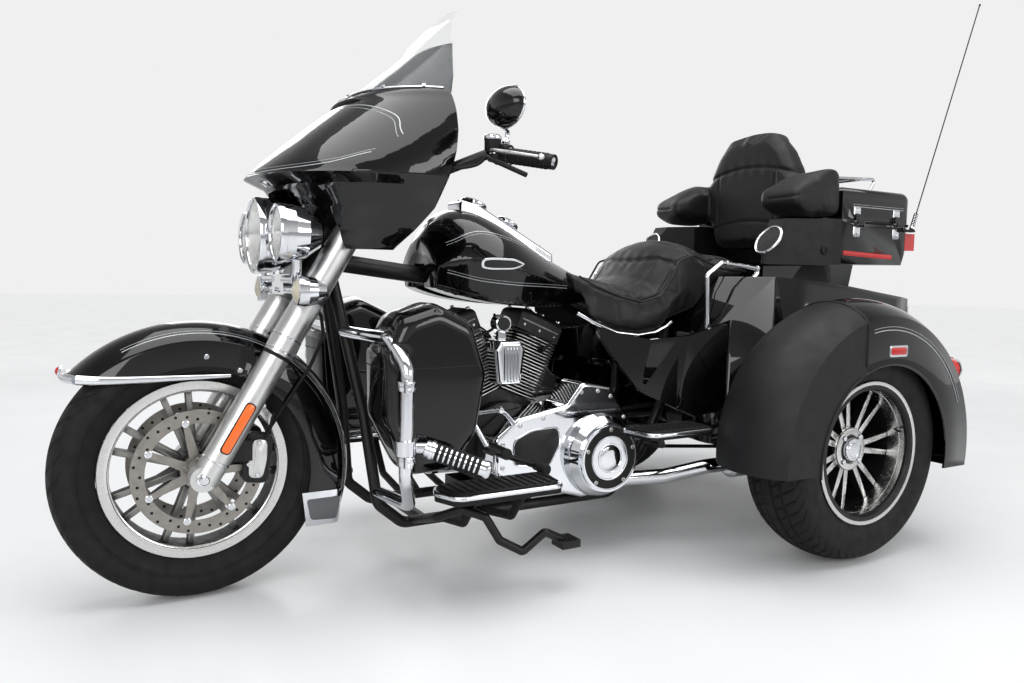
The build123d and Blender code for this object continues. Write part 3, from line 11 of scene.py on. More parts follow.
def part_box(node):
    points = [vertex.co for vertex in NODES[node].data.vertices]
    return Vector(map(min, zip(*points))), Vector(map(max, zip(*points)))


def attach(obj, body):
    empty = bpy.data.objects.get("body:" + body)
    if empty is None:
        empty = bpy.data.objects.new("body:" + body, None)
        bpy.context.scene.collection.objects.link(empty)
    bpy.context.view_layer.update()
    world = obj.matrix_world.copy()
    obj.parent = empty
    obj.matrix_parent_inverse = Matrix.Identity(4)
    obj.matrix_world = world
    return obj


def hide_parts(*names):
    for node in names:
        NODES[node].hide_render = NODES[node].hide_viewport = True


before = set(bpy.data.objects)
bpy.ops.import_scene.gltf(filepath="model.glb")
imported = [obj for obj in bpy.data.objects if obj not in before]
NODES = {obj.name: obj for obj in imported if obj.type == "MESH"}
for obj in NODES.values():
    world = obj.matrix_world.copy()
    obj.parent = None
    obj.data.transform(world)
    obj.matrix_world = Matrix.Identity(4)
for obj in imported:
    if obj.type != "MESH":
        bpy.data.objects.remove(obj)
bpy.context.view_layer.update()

bl_info = {
    "name": "Touring Trike Dressing",
    "version": (1, 0, 0),
    "blender": (4, 5, 0),
    "location": "View3D > Sidebar > Trike",
    "description": "Dresses the packed touring trike with its finishes, trim, tyres' tread and upholstery",
    "category": "Object",
}

# Metres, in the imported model's frame: X to the rider's left, Y to the rear, Z up from the ground.
FRONT_AXLE = (0.0, -1.148, 0.318)
REAR_AXLE = (0.562, 0.542, 0.320)
FULL_TURN = 2 * math.pi
LEFT, RIGHT, REAR, AHEAD, UP, DOWN = (1, 0, 0), (-1, 0, 0), (0, 1, 0), (0, -1, 0), (0, 0, 1), (0, 0, -1)


# Node trees and finishes

def linear(code):
    """An sRGB hex colour as linear red, green, blue and an alpha of 1."""
    parts = [int(code[i:i + 2], 16) / 255 for i in (1, 3, 5)]
    return tuple(c / 12.92 if c <= 0.04045 else ((c + 0.055) / 1.055) ** 2.4 for c in parts) + (1.0,)


def add(tree, kind, inputs=(), **settings):
    """One shader node with its settings, and its sockets given a value or linked to another node's output."""
    made = tree.nodes.new(kind)
    for name, value in settings.items():
        setattr(made, name, value)
    for key, value in dict(inputs).items():
        if isinstance(value, bpy.types.NodeSocket):
            tree.links.new(value, made.inputs[key])
        else:
            made.inputs[key].default_value = value
    return made


def finish(name, colour, metallic=0.0, roughness=0.4, patterns=(), tint=None, spread=None, **sockets):
    """A Principled material. tint is (second hex colour, size in mm, share), spread is (low and high
    roughness, size in mm), and each pattern is (texture kind, size in mm, height in mm, settings)."""
    made = bpy.data.materials.new(name)
    made.use_nodes = True
    tree = made.node_tree
    tree.nodes.clear()
    shader = add(tree, "ShaderNodeBsdfPrincipled", {"Metallic": metallic, "Roughness": roughness,
                                                    "Base Color": linear(colour)})
    add(tree, "ShaderNodeOutputMaterial", {"Surface": shader.outputs[0]})
    for key, value in sockets.items():
        shader.inputs[key.replace("_", " ")].default_value = value
    place = add(tree, "ShaderNodeTexCoord").outputs["Object"]
    if tint:
        second, size, share = tint
        cloud = add(tree, "ShaderNodeTexNoise", {"Vector": place, "Scale": 1000 / size, "Detail": 4.0})
        ramp = add(tree, "ShaderNodeValToRGB", {"Fac": cloud.outputs["Fac"]})
        dark, light_end = ramp.color_ramp.elements
        dark.position, light_end.position = 0.5 - share / 2, 0.5 + share
        dark.color, light_end.color = linear(colour), linear(second)
        tree.links.new(ramp.outputs["Color"], shader.inputs["Base Color"])
    if spread:
        low, high, size = spread
        cloud = add(tree, "ShaderNodeTexNoise", {"Vector": place, "Scale": 1000 / size, "Detail": 6.0})
        ranged = add(tree, "ShaderNodeMapRange", {"Value": cloud.outputs["Fac"], "From Min": 0.3,
                                                  "From Max": 0.7, "To Min": low, "To Max": high})
        tree.links.new(ranged.outputs["Result"], shader.inputs["Roughness"])
    normal = None
    for kind, size, height, settings in patterns:
        texture = add(tree, kind, {"Vector": place, "Scale": 1000 / size}, **settings)
        relief = {"Height": texture.outputs[0], "Distance": height / 1000, "Strength": 1.0}
        if normal:
            relief["Normal"] = normal
        normal = add(tree, "ShaderNodeBump", relief).outputs[0]
    if normal:
        tree.links.new(normal, shader.inputs["Normal"])
    return made


NOISE, CELLS = "ShaderNodeTexNoise", "ShaderNodeTexVoronoi"


def make_finishes():
    """Every material of the trike, each named for what the real one is."""
    made = {}

    def keep(name, *args, **values):
        made[name] = finish(name, *args, **values)

    # Two-stage polyurethane enamel, sprayed: deep black under a wet clear coat with faint orange peel.
    keep("gloss_black_enamel", "#030304", roughness=0.3, patterns=((NOISE, 9, 0.01, {}),),
         Specular_IOR_Level=0.05, Coat_Weight=1.0, Coat_Roughness=0.03, Coat_IOR=1.45)
    # The same paint moulded in ABS: a little softer gloss, as on the top case.
    keep("gloss_black_abs", "#040405", roughness=0.3, patterns=((NOISE, 14, 0.02, {}),),
         Specular_IOR_Level=0.08, Coat_Weight=0.9, Coat_Roughness=0.05)
    # Electroplated decorative chrome on polished steel: a bluish mirror with faint polishing haze.
    keep("decorative_chrome", "#DCDEE2", metallic=1.0, roughness=0.05, spread=(0.03, 0.11, 60))
    # Powder coat on steel tube: satin black with fine texture.
    keep("satin_powder_coat", "#070708", roughness=0.42, Specular_IOR_Level=0.35, spread=(0.36, 0.5, 20),
         patterns=((NOISE, 1.2, 0.02, {}),))
    # Glass-filled nylon, moulded: dull black with spark-eroded grain.
    keep("moulded_black_nylon", "#090909", roughness=0.55, Specular_IOR_Level=0.3,
         patterns=((CELLS, 1.1, 0.03, {}),), spread=(0.5, 0.62, 30))
    # Die-cast aluminium, clear coated: pale grey with cast grain under the lacquer.
    keep("lacquered_cast_aluminium", "#D3D3D2", metallic=1.0, roughness=0.36, spread=(0.28, 0.42, 25),
         patterns=((NOISE, 2.5, 0.02, {}),))
    # Turned aluminium, lacquered: fine tool lines round the rim's lip.
    keep("turned_aluminium", "#D2D2D0", metallic=1.0, roughness=0.24, Anisotropic=0.5, spread=(0.2, 0.3, 12))
    # Black powder coat over cast aluminium, a rough satin as on engine castings.
    keep("wrinkle_black_casting", "#070707", roughness=0.45, Specular_IOR_Level=0.4,
         patterns=((NOISE, 2.0, 0.08, {}),), spread=(0.42, 0.6, 18))
    # Ground stainless steel brake disc with a dull swept face.
    keep("ground_stainless", "#8E8A85", metallic=1.0, roughness=0.38, tint=("#A29E98", 18, 0.4),
         spread=(0.3, 0.46, 8))
    # Vulcanised tyre rubber: charcoal with a dusty bloom.
    keep("tyre_rubber", "#0C0C0D", roughness=0.7, Specular_IOR_Level=0.3, tint=("#131314", 40, 0.5),
         spread=(0.6, 0.82, 30), patterns=((NOISE, 1.6, 0.05, {}),))
    # Moulded nitrile rubber on grips, pegs and boards.
    keep("moulded_rubber", "#080809", roughness=0.62, Specular_IOR_Level=0.3,
         patterns=((NOISE, 1.4, 0.04, {}),), spread=(0.55, 0.7, 20))
    # Cowhide, pigmented black: pebbled grain with soft creases and a low sheen.
    keep("grained_leather", "#0B0B0C", roughness=0.5, Specular_IOR_Level=0.3, spread=(0.42, 0.58, 35),
         Sheen_Weight=0.06, Sheen_Roughness=0.4,
         patterns=((CELLS, 2.6, 0.09, {"feature": "SMOOTH_F1"}), (NOISE, 26, 0.3, {})))
    # Woven-backed vinyl of the fender covers: fine leather-like grain, duller than the seat.
    keep("grained_vinyl", "#0E0E10", roughness=0.52, Specular_IOR_Level=0.32, spread=(0.48, 0.62, 40),
         patterns=((CELLS, 1.5, 0.05, {"feature": "SMOOTH_F1"}), (NOISE, 60, 0.4, {})))
    # Hard-coated polycarbonate screen: nearly clear, faintly grey at its edges.
    keep("clear_polycarbonate", "#AEB2B5", roughness=0.02, spread=(0.01, 0.04, 80), Alpha=0.12,
         Specular_IOR_Level=0.3)
    # Smoked polycarbonate of the deflector behind the screen.
    keep("smoked_polycarbonate", "#060607", roughness=0.12, spread=(0.1, 0.16, 60), Alpha=0.85,
         Specular_IOR_Level=0.25)
    # Clear moulded lens over a bright reflector.
    keep("clear_lens", "#FFFFFF", roughness=0.01, spread=(0.0, 0.03, 40), Transmission_Weight=1.0, IOR=1.3,
         Alpha=0.3)
    # Vacuum-metallised reflector bowl.
    keep("metallised_reflector", "#E6E6E4", metallic=1.0, roughness=0.12, patterns=((NOISE, 22, 0.6, {}),))
    # Acrylic lenses, moulded with small prisms.
    keep("red_acrylic", "#B4100E", roughness=0.12, spread=(0.08, 0.18, 20), Coat_Weight=0.6,
         patterns=((CELLS, 5, 0.3, {}),))
    keep("amber_acrylic", "#E8660E", roughness=0.12, spread=(0.08, 0.18, 20), Coat_Weight=0.6,
         patterns=((CELLS, 5, 0.3, {}),))
    keep("smoked_lens", "#C9C2AE", roughness=0.1, spread=(0.06, 0.16, 20), Coat_Weight=0.5)
    # Stretched acoustic cloth over a pierced speaker grille.
    keep("speaker_cloth", "#0C0C0D", roughness=0.75, spread=(0.68, 0.8, 10),
         patterns=((CELLS, 2.2, 0.5, {}),))
    # Silver enamel of the hand-laid pinstripes.
    keep("silver_pinstripe", "#A8ABAE", roughness=0.35, metallic=0.4, spread=(0.3, 0.42, 20))
    # Diamond-turned faces of the front wheel's spokes, duller than its lip.
    keep("machined_spoke", "#8B8A87", metallic=1.0, roughness=0.42, spread=(0.34, 0.5, 10))
    # Grey lacquered panel in the chrome foot of the front fender.
    keep("lacquered_grey_panel", "#5F6164", metallic=0.4, roughness=0.35, spread=(0.28, 0.42, 15))
    # Machined fin edges and bolt heads, bright metal with tool marks.
    keep("machined_edge", "#C2C2C0", metallic=1.0, roughness=0.3, spread=(0.24, 0.38, 6))
    return made


CAD_FINISHES = {
    "gloss_black_enamel": "front_fender fairing lower_fairings fuel_tank side_panels rear_body trunk_door "
                          "rear_fenders",
    "gloss_black_abs": "case_base case_lid",
    "decorative_chrome": "primary_cover air_cleaner horn_cover exhaust engine_guard side_rails luggage_rack "
                         "mirrors tank_console headlamp auxiliary_lamps",
    "satin_powder_coat": "frame_tubes swingarm handlebar fork_crowns rear_axle shift_lever brake_pedals",
    "moulded_black_nylon": "inner_fairing hand_controls speaker_pods antenna",
    "lacquered_cast_aluminium": "fork_sliders fork_covers",
    "wrinkle_black_casting": "crankcase cylinders cam_cover front_calipers front_rim rear_rim_left "
                             "rear_rim_right",
    "ground_stainless": "front_discs",
    "tyre_rubber": "front_tyre rear_tyre_left rear_tyre_right",
    "moulded_rubber": "rider_footboards passenger_footboard_left passenger_footboard_right drive_belt "
                      "brake_hoses",
    "grained_leather": "seat backrest",
    "grained_vinyl": "fender_covers",
    "clear_polycarbonate": "windshield",
    "red_acrylic": "rear_lamps",
}
FINISHES = {}


# Shapes from whole arrays: each is (points, quads, triangles)

ENAMEL, CHROME, PINSTRIPE = "gloss_black_enamel", "decorative_chrome", "silver_pinstripe"
RUBBER, NYLON, MACHINED = "moulded_rubber", "moulded_black_nylon", "machined_edge"


def at(x, y, z):
    """A point in metres from millimetres measured from the front axle's line."""
    return np.array((x / 1000, y / 1000 + FRONT_AXLE[1], z / 1000))


def spots(*points):
    """Several points in millimetres, as rows in metres."""
    return np.array([at(*point) for point in points])


def beside(x, *points):
    """Several points given as (y, z) in millimetres at one x, as rows in metres."""
    return spots(*[(x, y, z) for y, z in points])


def both_ways(*half):
    """Points in metres of a run in mm that starts in the middle: its mirror image, then the run itself."""
    return spots(*[(-x, y, z) for x, y, z in half[:0:-1]], *half)


def metres(rows):
    """An array of points in millimetres measured from the front axle's line, in metres."""
    return rows / 1000 + (0, FRONT_AXLE[1], 0)


def arc(x, y, z, radius, angles):
    """Points in metres on an upright arc at x round (y, z) in mm: angles in degrees from the rear horizon."""
    turn = np.radians(angles)
    return metres(np.stack((np.full(len(turn), float(x)), y + radius * np.cos(turn),
                            z + radius * np.sin(turn)), -1))


def circle_about(centre, x, radius, turn):
    """Points in metres on an upright circle, x beside a centre: radius times cosine and sine."""
    return np.stack((np.full(len(turn), x), radius * np.cos(turn), radius * np.sin(turn)), -1) + centre


def turns(count):
    """Angles evenly round a full turn, from 0."""
    return np.linspace(0, FULL_TURN, count, endpoint=False)


def unit(vectors):
    """Vectors scaled to a length of 1."""
    vectors = np.asarray(vectors, float)
    return vectors / np.maximum(np.linalg.norm(vectors, axis=-1, keepdims=True), 1e-12)


def grid_quads(rows, columns, wrap_rows=False, wrap_columns=False):
    """The quads of a grid of points, wrapped round in either direction."""
    r = np.arange(rows if wrap_rows else rows - 1)[:, None]
    c = np.arange(columns if wrap_columns else columns - 1)[None, :]
    next_r, next_c = (r + 1) % rows, (c + 1) % columns
    corners = (r * columns + c, r * columns + next_c, next_r * columns + next_c, next_r * columns + c)
    return np.stack(np.broadcast_arrays(*corners), -1).reshape(-1, 4)


def no_faces(corners):
    """An empty table of faces."""
    return np.zeros((0, corners), int)


def rings_shape(rings, caps=True):
    """Rings of points joined into a tube. Each end is closed by a fan round the middle of its ring."""
    rings = np.asarray(rings, float)
    count, around = rings.shape[:2]
    points, quads = rings.reshape(-1, 3), grid_quads(count, around, wrap_columns=True)
    if not caps:
        return points, quads, no_faces(3)
    middles = np.stack((rings[0].mean(0), rings[-1].mean(0)))
    step = np.arange(around)
    after = (step + 1) % around
    first = np.stack((np.full(around, len(points)), after, step), -1)
    base = (count - 1) * around
    last = np.stack((np.full(around, len(points) + 1), base + step, base + after), -1)
    return np.vstack((points, middles)), quads, np.vstack((first, last))


def smooth_path(points, count=48):
    """A Catmull-Rom curve through points: each run is a cubic blend of the four points round it."""
    p = np.asarray(points, float)
    p = np.vstack((2 * p[0] - p[1], p, 2 * p[-1] - p[-2]))
    t = np.linspace(0, len(p) - 3 - 1e-9, count)
    k, u = t.astype(int), (t % 1)[:, None]
    a, b, c, d = p[k], p[k + 1], p[k + 2], p[k + 3]
    square, cube = 2 * a - 5 * b + 4 * c - d, 3 * b - a - 3 * c + d
    return 0.5 * (2 * b + (c - a) * u + square * u ** 2 + cube * u ** 3)


def tube(path, radius, up=UP, around=12, flat=1.0):
    """A round bar along a path in metres: circles of the radius in mm about each point, squeezed by flat."""
    tangent = unit(np.gradient(path, axis=0))
    side = unit(np.cross(tangent, up))
    top = np.cross(side, tangent)
    angle = turns(around)
    size = np.broadcast_to(np.asarray(radius, float) / 1000, (len(path),))[:, None, None]
    ring = np.cos(angle)[None, :, None] * side[:, None] + np.sin(angle)[None, :, None] * top[:, None] * flat
    return rings_shape(path[:, None] + ring * size)


def loop_tube(path, radius, normal, around=8):
    """A closed ring of bar: circles about a closed path that lies square to a normal."""
    tangent = unit(np.roll(path, -1, 0) - np.roll(path, 1, 0))
    side = unit(np.cross(tangent, normal))
    angle = turns(around)
    normal = np.asarray(normal, float)
    ring = np.cos(angle)[None, :, None] * side[:, None] + np.sin(angle)[None, :, None] * normal
    points = (path[:, None] + ring * radius / 1000).reshape(-1, 3)
    return points, grid_quads(len(path), around, True, True), no_faces(3)


def axes_towards(direction, up=UP):
    """Three unit axes as rows, the last one along a direction."""
    z = unit(direction)
    up = np.array(REAR) if abs(np.dot(z, up)) > 0.95 else np.array(up)
    x = unit(np.cross(up, z))
    return np.stack((x, np.cross(z, x), z))


def turned_rings(profile, centre, direction, steps, up):
    """Rings of a profile of (radius, height) in mm turned about a direction through a centre: each of its
    points goes round at its radius."""
    profile = np.asarray(profile, float) / 1000
    axes = axes_towards(direction, up)
    angle = turns(steps)
    circle = np.cos(angle)[:, None] * axes[0] + np.sin(angle)[:, None] * axes[1]
    return np.asarray(centre) + profile[:, None, :1] * circle[None] + profile[:, None, 1:] * axes[2]


def lathe(profile, centre, direction, steps=40, up=UP):
    """A turned profile with its two ends closed by fans, which meet the axis where the profile does."""
    rings = turned_rings(profile, centre, direction, steps, up)
    on_axis = [point[0] == 0 for point in profile]
    points, quads, fans = rings_shape(rings[np.logical_not(on_axis)])
    if on_axis[0]:
        points[-2] = rings[0, 0]
    if on_axis[-1]:
        points[-1] = rings[-1, 0]
    return points, quads, fans


def ring_lathe(profile, centre, direction, steps=48, up=UP):
    """A closed profile of (radius, height) in mm turned about a direction, with no ends."""
    rings = turned_rings(profile, centre, direction, steps, up)
    return rings.reshape(-1, 3), grid_quads(len(profile), steps, True, True), no_faces(3)


def round_corners(outline, radius, steps=4):
    """A flat outline with each corner replaced by a quadratic curve that starts a radius before it."""
    p = np.asarray(outline, float)
    before, after = np.roll(p, 1, 0) - p, np.roll(p, -1, 0) - p
    reach = np.minimum(radius, 0.49 * np.minimum(np.linalg.norm(before, axis=1),
                                                 np.linalg.norm(after, axis=1)))[:, None]
    start, end = p + unit(before) * reach, p + unit(after) * reach
    t = np.linspace(0, 1, steps + 1)[None, :, None]
    curve = (1 - t) ** 2 * start[:, None] + 2 * t * (1 - t) * p[:, None] + t ** 2 * end[:, None]
    return curve.reshape(-1, 2)


def oblong(half_width, half_height, radius, steps=4):
    """A rectangle about the origin in mm, its corners rounded by a radius."""
    x, y = half_width, half_height
    return round_corners(((-x, -y), (x, -y), (x, y), (-x, y)), radius, steps)


def slab(outline, thickness, centre, direction, bevel=1.0, up=UP):
    """A flat outline in mm carried along a direction by a thickness: its rings draw in by the bevel at both
    faces along the outline's own square direction."""
    p = np.asarray(outline, float)
    if np.sum(p[:, 0] * np.roll(p[:, 1], -1) - np.roll(p[:, 0], -1) * p[:, 1]) < 0:
        p = p[::-1]
    edge = unit(np.roll(p, -1, 0) - np.roll(p, 1, 0))
    inward = np.stack((-edge[:, 1], edge[:, 0]), -1)
    rows = ((bevel, 0), (bevel * 0.3, bevel * 0.3), (0, bevel), (0, thickness - bevel),
            (bevel * 0.3, thickness - bevel * 0.3), (bevel, thickness))
    axes = axes_towards(direction, up)
    rings = [(p + inward * inset) @ axes[:2] / 1000 + axes[2] * height / 1000 + np.asarray(centre)
             for inset, height in rows]
    return rings_shape(rings)


def place_all(shape, places, directions, up=UP):
    """Copies of a shape drawn round the origin along Z, one at each place and turned along its direction."""
    points, quads, fans = shape
    places, axes = np.asarray(places, float), np.stack([axes_towards(d, up) for d in directions])
    moved = np.einsum("vk,nkj->nvj", points, axes) + places[:, None]
    shift = (np.arange(len(places)) * len(points))[:, None, None]
    return moved.reshape(-1, 3), (quads[None] + shift).reshape(-1, 4), (fans[None] + shift).reshape(-1, 3)


def bolts(places, directions, radius=6, height=5):
    """Cap screws: a turned head with a bevelled rim and a recessed socket, at each place."""
    bottom = height - radius * 0.5
    profile = ((0, -0.6), (radius, -0.6), (radius, height * 0.75), (radius * 0.82, height),
               (radius * 0.42, height * 0.98), (radius * 0.45, bottom), (0, bottom))
    head = lathe(profile, (0, 0, 0), UP, 18, REAR)
    directions = np.broadcast_to(np.asarray(directions, float), (len(places), 3))
    return place_all(head, places, directions)


def merged(shapes):
    """Several shapes as one, with their faces renumbered."""
    shift, points, quads, fans = 0, [], [], []
    for p, q, t in shapes:
        points.append(p)
        quads.append(q + shift)
        fans.append(t + shift)
        shift += len(p)
    return np.vstack(points), np.vstack(quads), np.vstack(fans)


def mirrored(shape):
    """A shape mirrored to the other side, its faces turned round."""
    points, quads, fans = shape
    return points * (-1, 1, 1), quads[:, ::-1], fans[:, ::-1]


def pair(shape):
    """A shape, or a list of them as one, and its mirror image."""
    shape = merged(shape) if isinstance(shape, list) else shape
    return merged((shape, mirrored(shape)))


def piece(name, shapes, finish_name, body, replaced=(), sharp=40):
    """A mesh object of a shape, or a list of them, with its finish, riding on a body. Edges over the sharp
    angle stay crisp and the rest are shaded smooth."""
    points, quads, fans = merged(shapes) if isinstance(shapes, list) else shapes
    mesh = bpy.data.meshes.new(name)
    mesh.from_pydata(points.tolist(), [], quads.tolist() + fans.tolist())
    mesh.validate()
    form = bmesh.new()
    form.from_mesh(mesh)
    bmesh.ops.recalc_face_normals(form, faces=form.faces)
    form.to_mesh(mesh)
    form.free()
    mesh.shade_smooth()
    mesh.set_sharp_from_angle(angle=math.radians(sharp))
    mesh.materials.append(FINISHES[finish_name])
    made = bpy.data.objects.new(name, mesh)
    bpy.context.collection.objects.link(made)
    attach(made, body)
    if replaced:
        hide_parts(*replaced)
    return made


TREES = {}


def cast(node, starts, direction):
    """Where rays from several starts meet a CAD node, and the surface's normals there, by a search tree made
    once for each node."""
    if node not in TREES:
        mesh = NODES[node].data
        TREES[node] = BVHTree.FromPolygons([v.co[:] for v in mesh.vertices],
                                           [tuple(f.vertices) for f in mesh.polygons])
    hits, normals = [], []
    directions = np.broadcast_to(np.asarray(direction, float), (len(starts), 3))
    for start, way in zip(starts, directions):
        spot, normal, _, _ = TREES[node].ray_cast(Vector(start), Vector(way))
        if spot is None:
            raise RuntimeError(f"no surface of {node} at {[round(float(v) * 1000) for v in start]}")
        hits.append(spot[:])
        normals.append(normal[:])
    hits, normals = np.array(hits), np.array(normals)
    facing = np.sign(-np.sum(normals * directions, axis=1, keepdims=True))
    return hits, normals * np.where(facing == 0, 1, facing)


def strip_on(node, points, direction, width=3.0, height=0.4, count=60):
    """A raised line on a CAD surface: a path is laid on it by rays, and a low section of the width and height
    in mm follows it along the surface's own normals."""
    path = smooth_path(points, count)
    hits, normals = cast(node, path, direction)
    normals = unit(normals + np.vstack((normals[1:], normals[-1:])) + np.vstack((normals[:1], normals[:-1])))
    tangent = unit(np.gradient(hits, axis=0))
    side = unit(np.cross(tangent, normals))
    half = width / 2
    section = ((-half, -0.6), (-half, height * 0.6), (-half * 0.6, height), (half * 0.6, height),
               (half, height * 0.6), (half, -0.6))
    rings = np.stack([hits + side * a / 1000 + normals * b / 1000 for a, b in section], 1)
    return rings_shape(rings)


# Wheels, tyres and brakes

def section_of_tyre(width, radius, bead_radius, bead_width, count):
    """A tyre's outer section as (x, radius) in mm with how far along the tread each point is: bead heel, wall
    and shoulder arcs, and a crown arc between the shoulders."""
    half = width / 2
    shoulder = np.array((half * 0.8, radius - width * 0.09))
    wall = np.array((half - 0.5, (radius + bead_radius) / 2 + 8))
    heel = np.array((bead_width / 2 + 0.4, bead_radius + 16))
    side = smooth_path(np.vstack((heel, (heel + wall) / 2 + (5, 0), wall,
                                  (wall + shoulder) / 2 + (half * 0.055, 2), shoulder)), count // 3)
    across = np.linspace(1, -1, count)[1:-1]
    tread = np.stack((across * shoulder[0], radius - width * 0.09 * np.abs(across) ** 2.2), -1)
    whole = np.vstack((side, tread, side[::-1] * (-1, 1)))
    down = 1 + 3 * np.linspace(1, 0, len(side))
    share = np.concatenate((down, across, -down[::-1]))
    return whole, share


def tyre_shape(centre, width, radius, bead_radius, bead_width, cuts, count=72, around=600):
    """A tyre with its tread cut in: each point of the section goes round the axle at its radius less the
    depth of the grooves there, and the cuts are smooth steps of the angle and of the distance across."""
    section, share = section_of_tyre(width, radius, bead_radius, bead_width, count)
    angle = turns(around)
    r = section[None, :, 1] - cuts(angle[:, None], share[None, :])
    rings = np.stack((np.broadcast_to(section[None, :, 0], r.shape), r * np.cos(angle)[:, None],
                      r * np.sin(angle)[:, None]), -1) / 1000 + np.asarray(centre)
    return rings.reshape(-1, 3), grid_quads(around, len(section), True, True), no_faces(3)


def step(value, edge, soft):
    """1 below an edge and 0 above it, with a soft ramp."""
    return np.clip((edge + soft - value) / (2 * soft), 0, 1)


FRONT_BLOCKS, REAR_BLOCKS = 36, 56  # how often each tread repeats round its tyre


def front_cuts(angle, across):
    """Front tread: a wavy middle groove and swept side grooves that run out on the shoulders, 5 mm deep."""
    inside = np.abs(across) <= 1.9
    middle = step(np.abs(across - 0.05 * np.sin(angle * FRONT_BLOCKS)), 0.045, 0.02)
    phase = (angle * FRONT_BLOCKS / FULL_TURN + np.abs(across) * 0.9 + np.where(across > 0, 0.5, 0)) % 1
    swept = step(np.abs(phase - 0.5), 0.09, 0.03) * step(np.abs(np.abs(across) - 0.95), 0.67, 0.08)
    return np.where(inside, np.maximum(middle, swept) * 5.0, 0)


def rear_cuts(angle, across):
    """Rear tread: four round grooves and angled sipes between them, 6 mm deep, and shoulder blocks."""
    inside = np.abs(across) <= 1.7
    rounds = np.maximum(step(np.abs(np.abs(across) - 0.2), 0.035, 0.012),
                        step(np.abs(np.abs(across) - 0.58), 0.04, 0.012))
    phase = (angle * REAR_BLOCKS / FULL_TURN + across * 1.4) % 1
    sipes = step(np.abs(phase - 0.5), 0.06, 0.03) * step(-np.abs(across), -0.26, 0.02)
    return np.where(inside, np.maximum(rounds, sipes * 0.7) * 6.0, 0)


def tyre_mark(centre, side, radius, x):
    """A raised ring on a tyre's wall, x mm beside its centre, in place of its moulded lettering."""
    return ring_lathe(((radius - 1.6, x), (radius - 0.8, x + 1.1), (radius + 0.8, x + 1.1),
                       (radius + 1.6, x)), centre, (side, 0, 0), 120)


class TRIKE_OT_tyres(bpy.types.Operator):
    """Adds the three tyres with their tread cut in, over the plain rings of the model"""
    bl_idname = "trike.tyres"
    bl_label = "Add Tyres"

    def execute(self, context):
        front = tyre_shape(FRONT_AXLE, width=130, radius=318, bead_radius=203, bead_width=76, cuts=front_cuts)
        marks = [tyre_mark(FRONT_AXLE, side, r, 63.3) for side in (-1, 1) for r in (254, 262)]
        piece("front_tyre_tread", [front] + marks, "tyre_rubber", "front_wheel", ("front_tyre",), sharp=30)
        for side, word in ((1, "left"), (-1, "right")):
            centre = (side * REAR_AXLE[0], REAR_AXLE[1], REAR_AXLE[2])
            rear = tyre_shape(centre, width=205, radius=320, bead_radius=190, bead_width=176, cuts=rear_cuts)
            marks = [tyre_mark(centre, side, r, 100.8) for r in (248, 258)]
            piece(f"rear_tyre_tread_{word}", [rear] + marks, "tyre_rubber", f"rear_wheel_{word}",
                  (f"rear_tyre_{word}",), sharp=30)
        return {"FINISHED"}


def spoke_faces(centre, side, hub, rim, face, count=7, splay=9):
    """Machined faces on the twin spokes: a long tapered outline for each, turned round the axle."""
    outline = round_corners(((hub - 4, -8.6), (rim, -6.6), (rim, 6.6), (hub - 4, 8.6)), 3, 2)
    shapes = []
    for angle in [math.radians(pair_at * 360 / count + lean) for pair_at in range(count)
                  for lean in (-splay, splay)]:
        c, s = math.cos(angle), math.sin(angle)
        turned = outline @ np.array(((c, s), (-s, c))) * (side, 1)
        shapes.append(slab(turned, 2.0, np.asarray(centre) + (side * (face - 0.6) / 1000, 0, 0),
                           (side, 0, 0), 0.8))
    return shapes


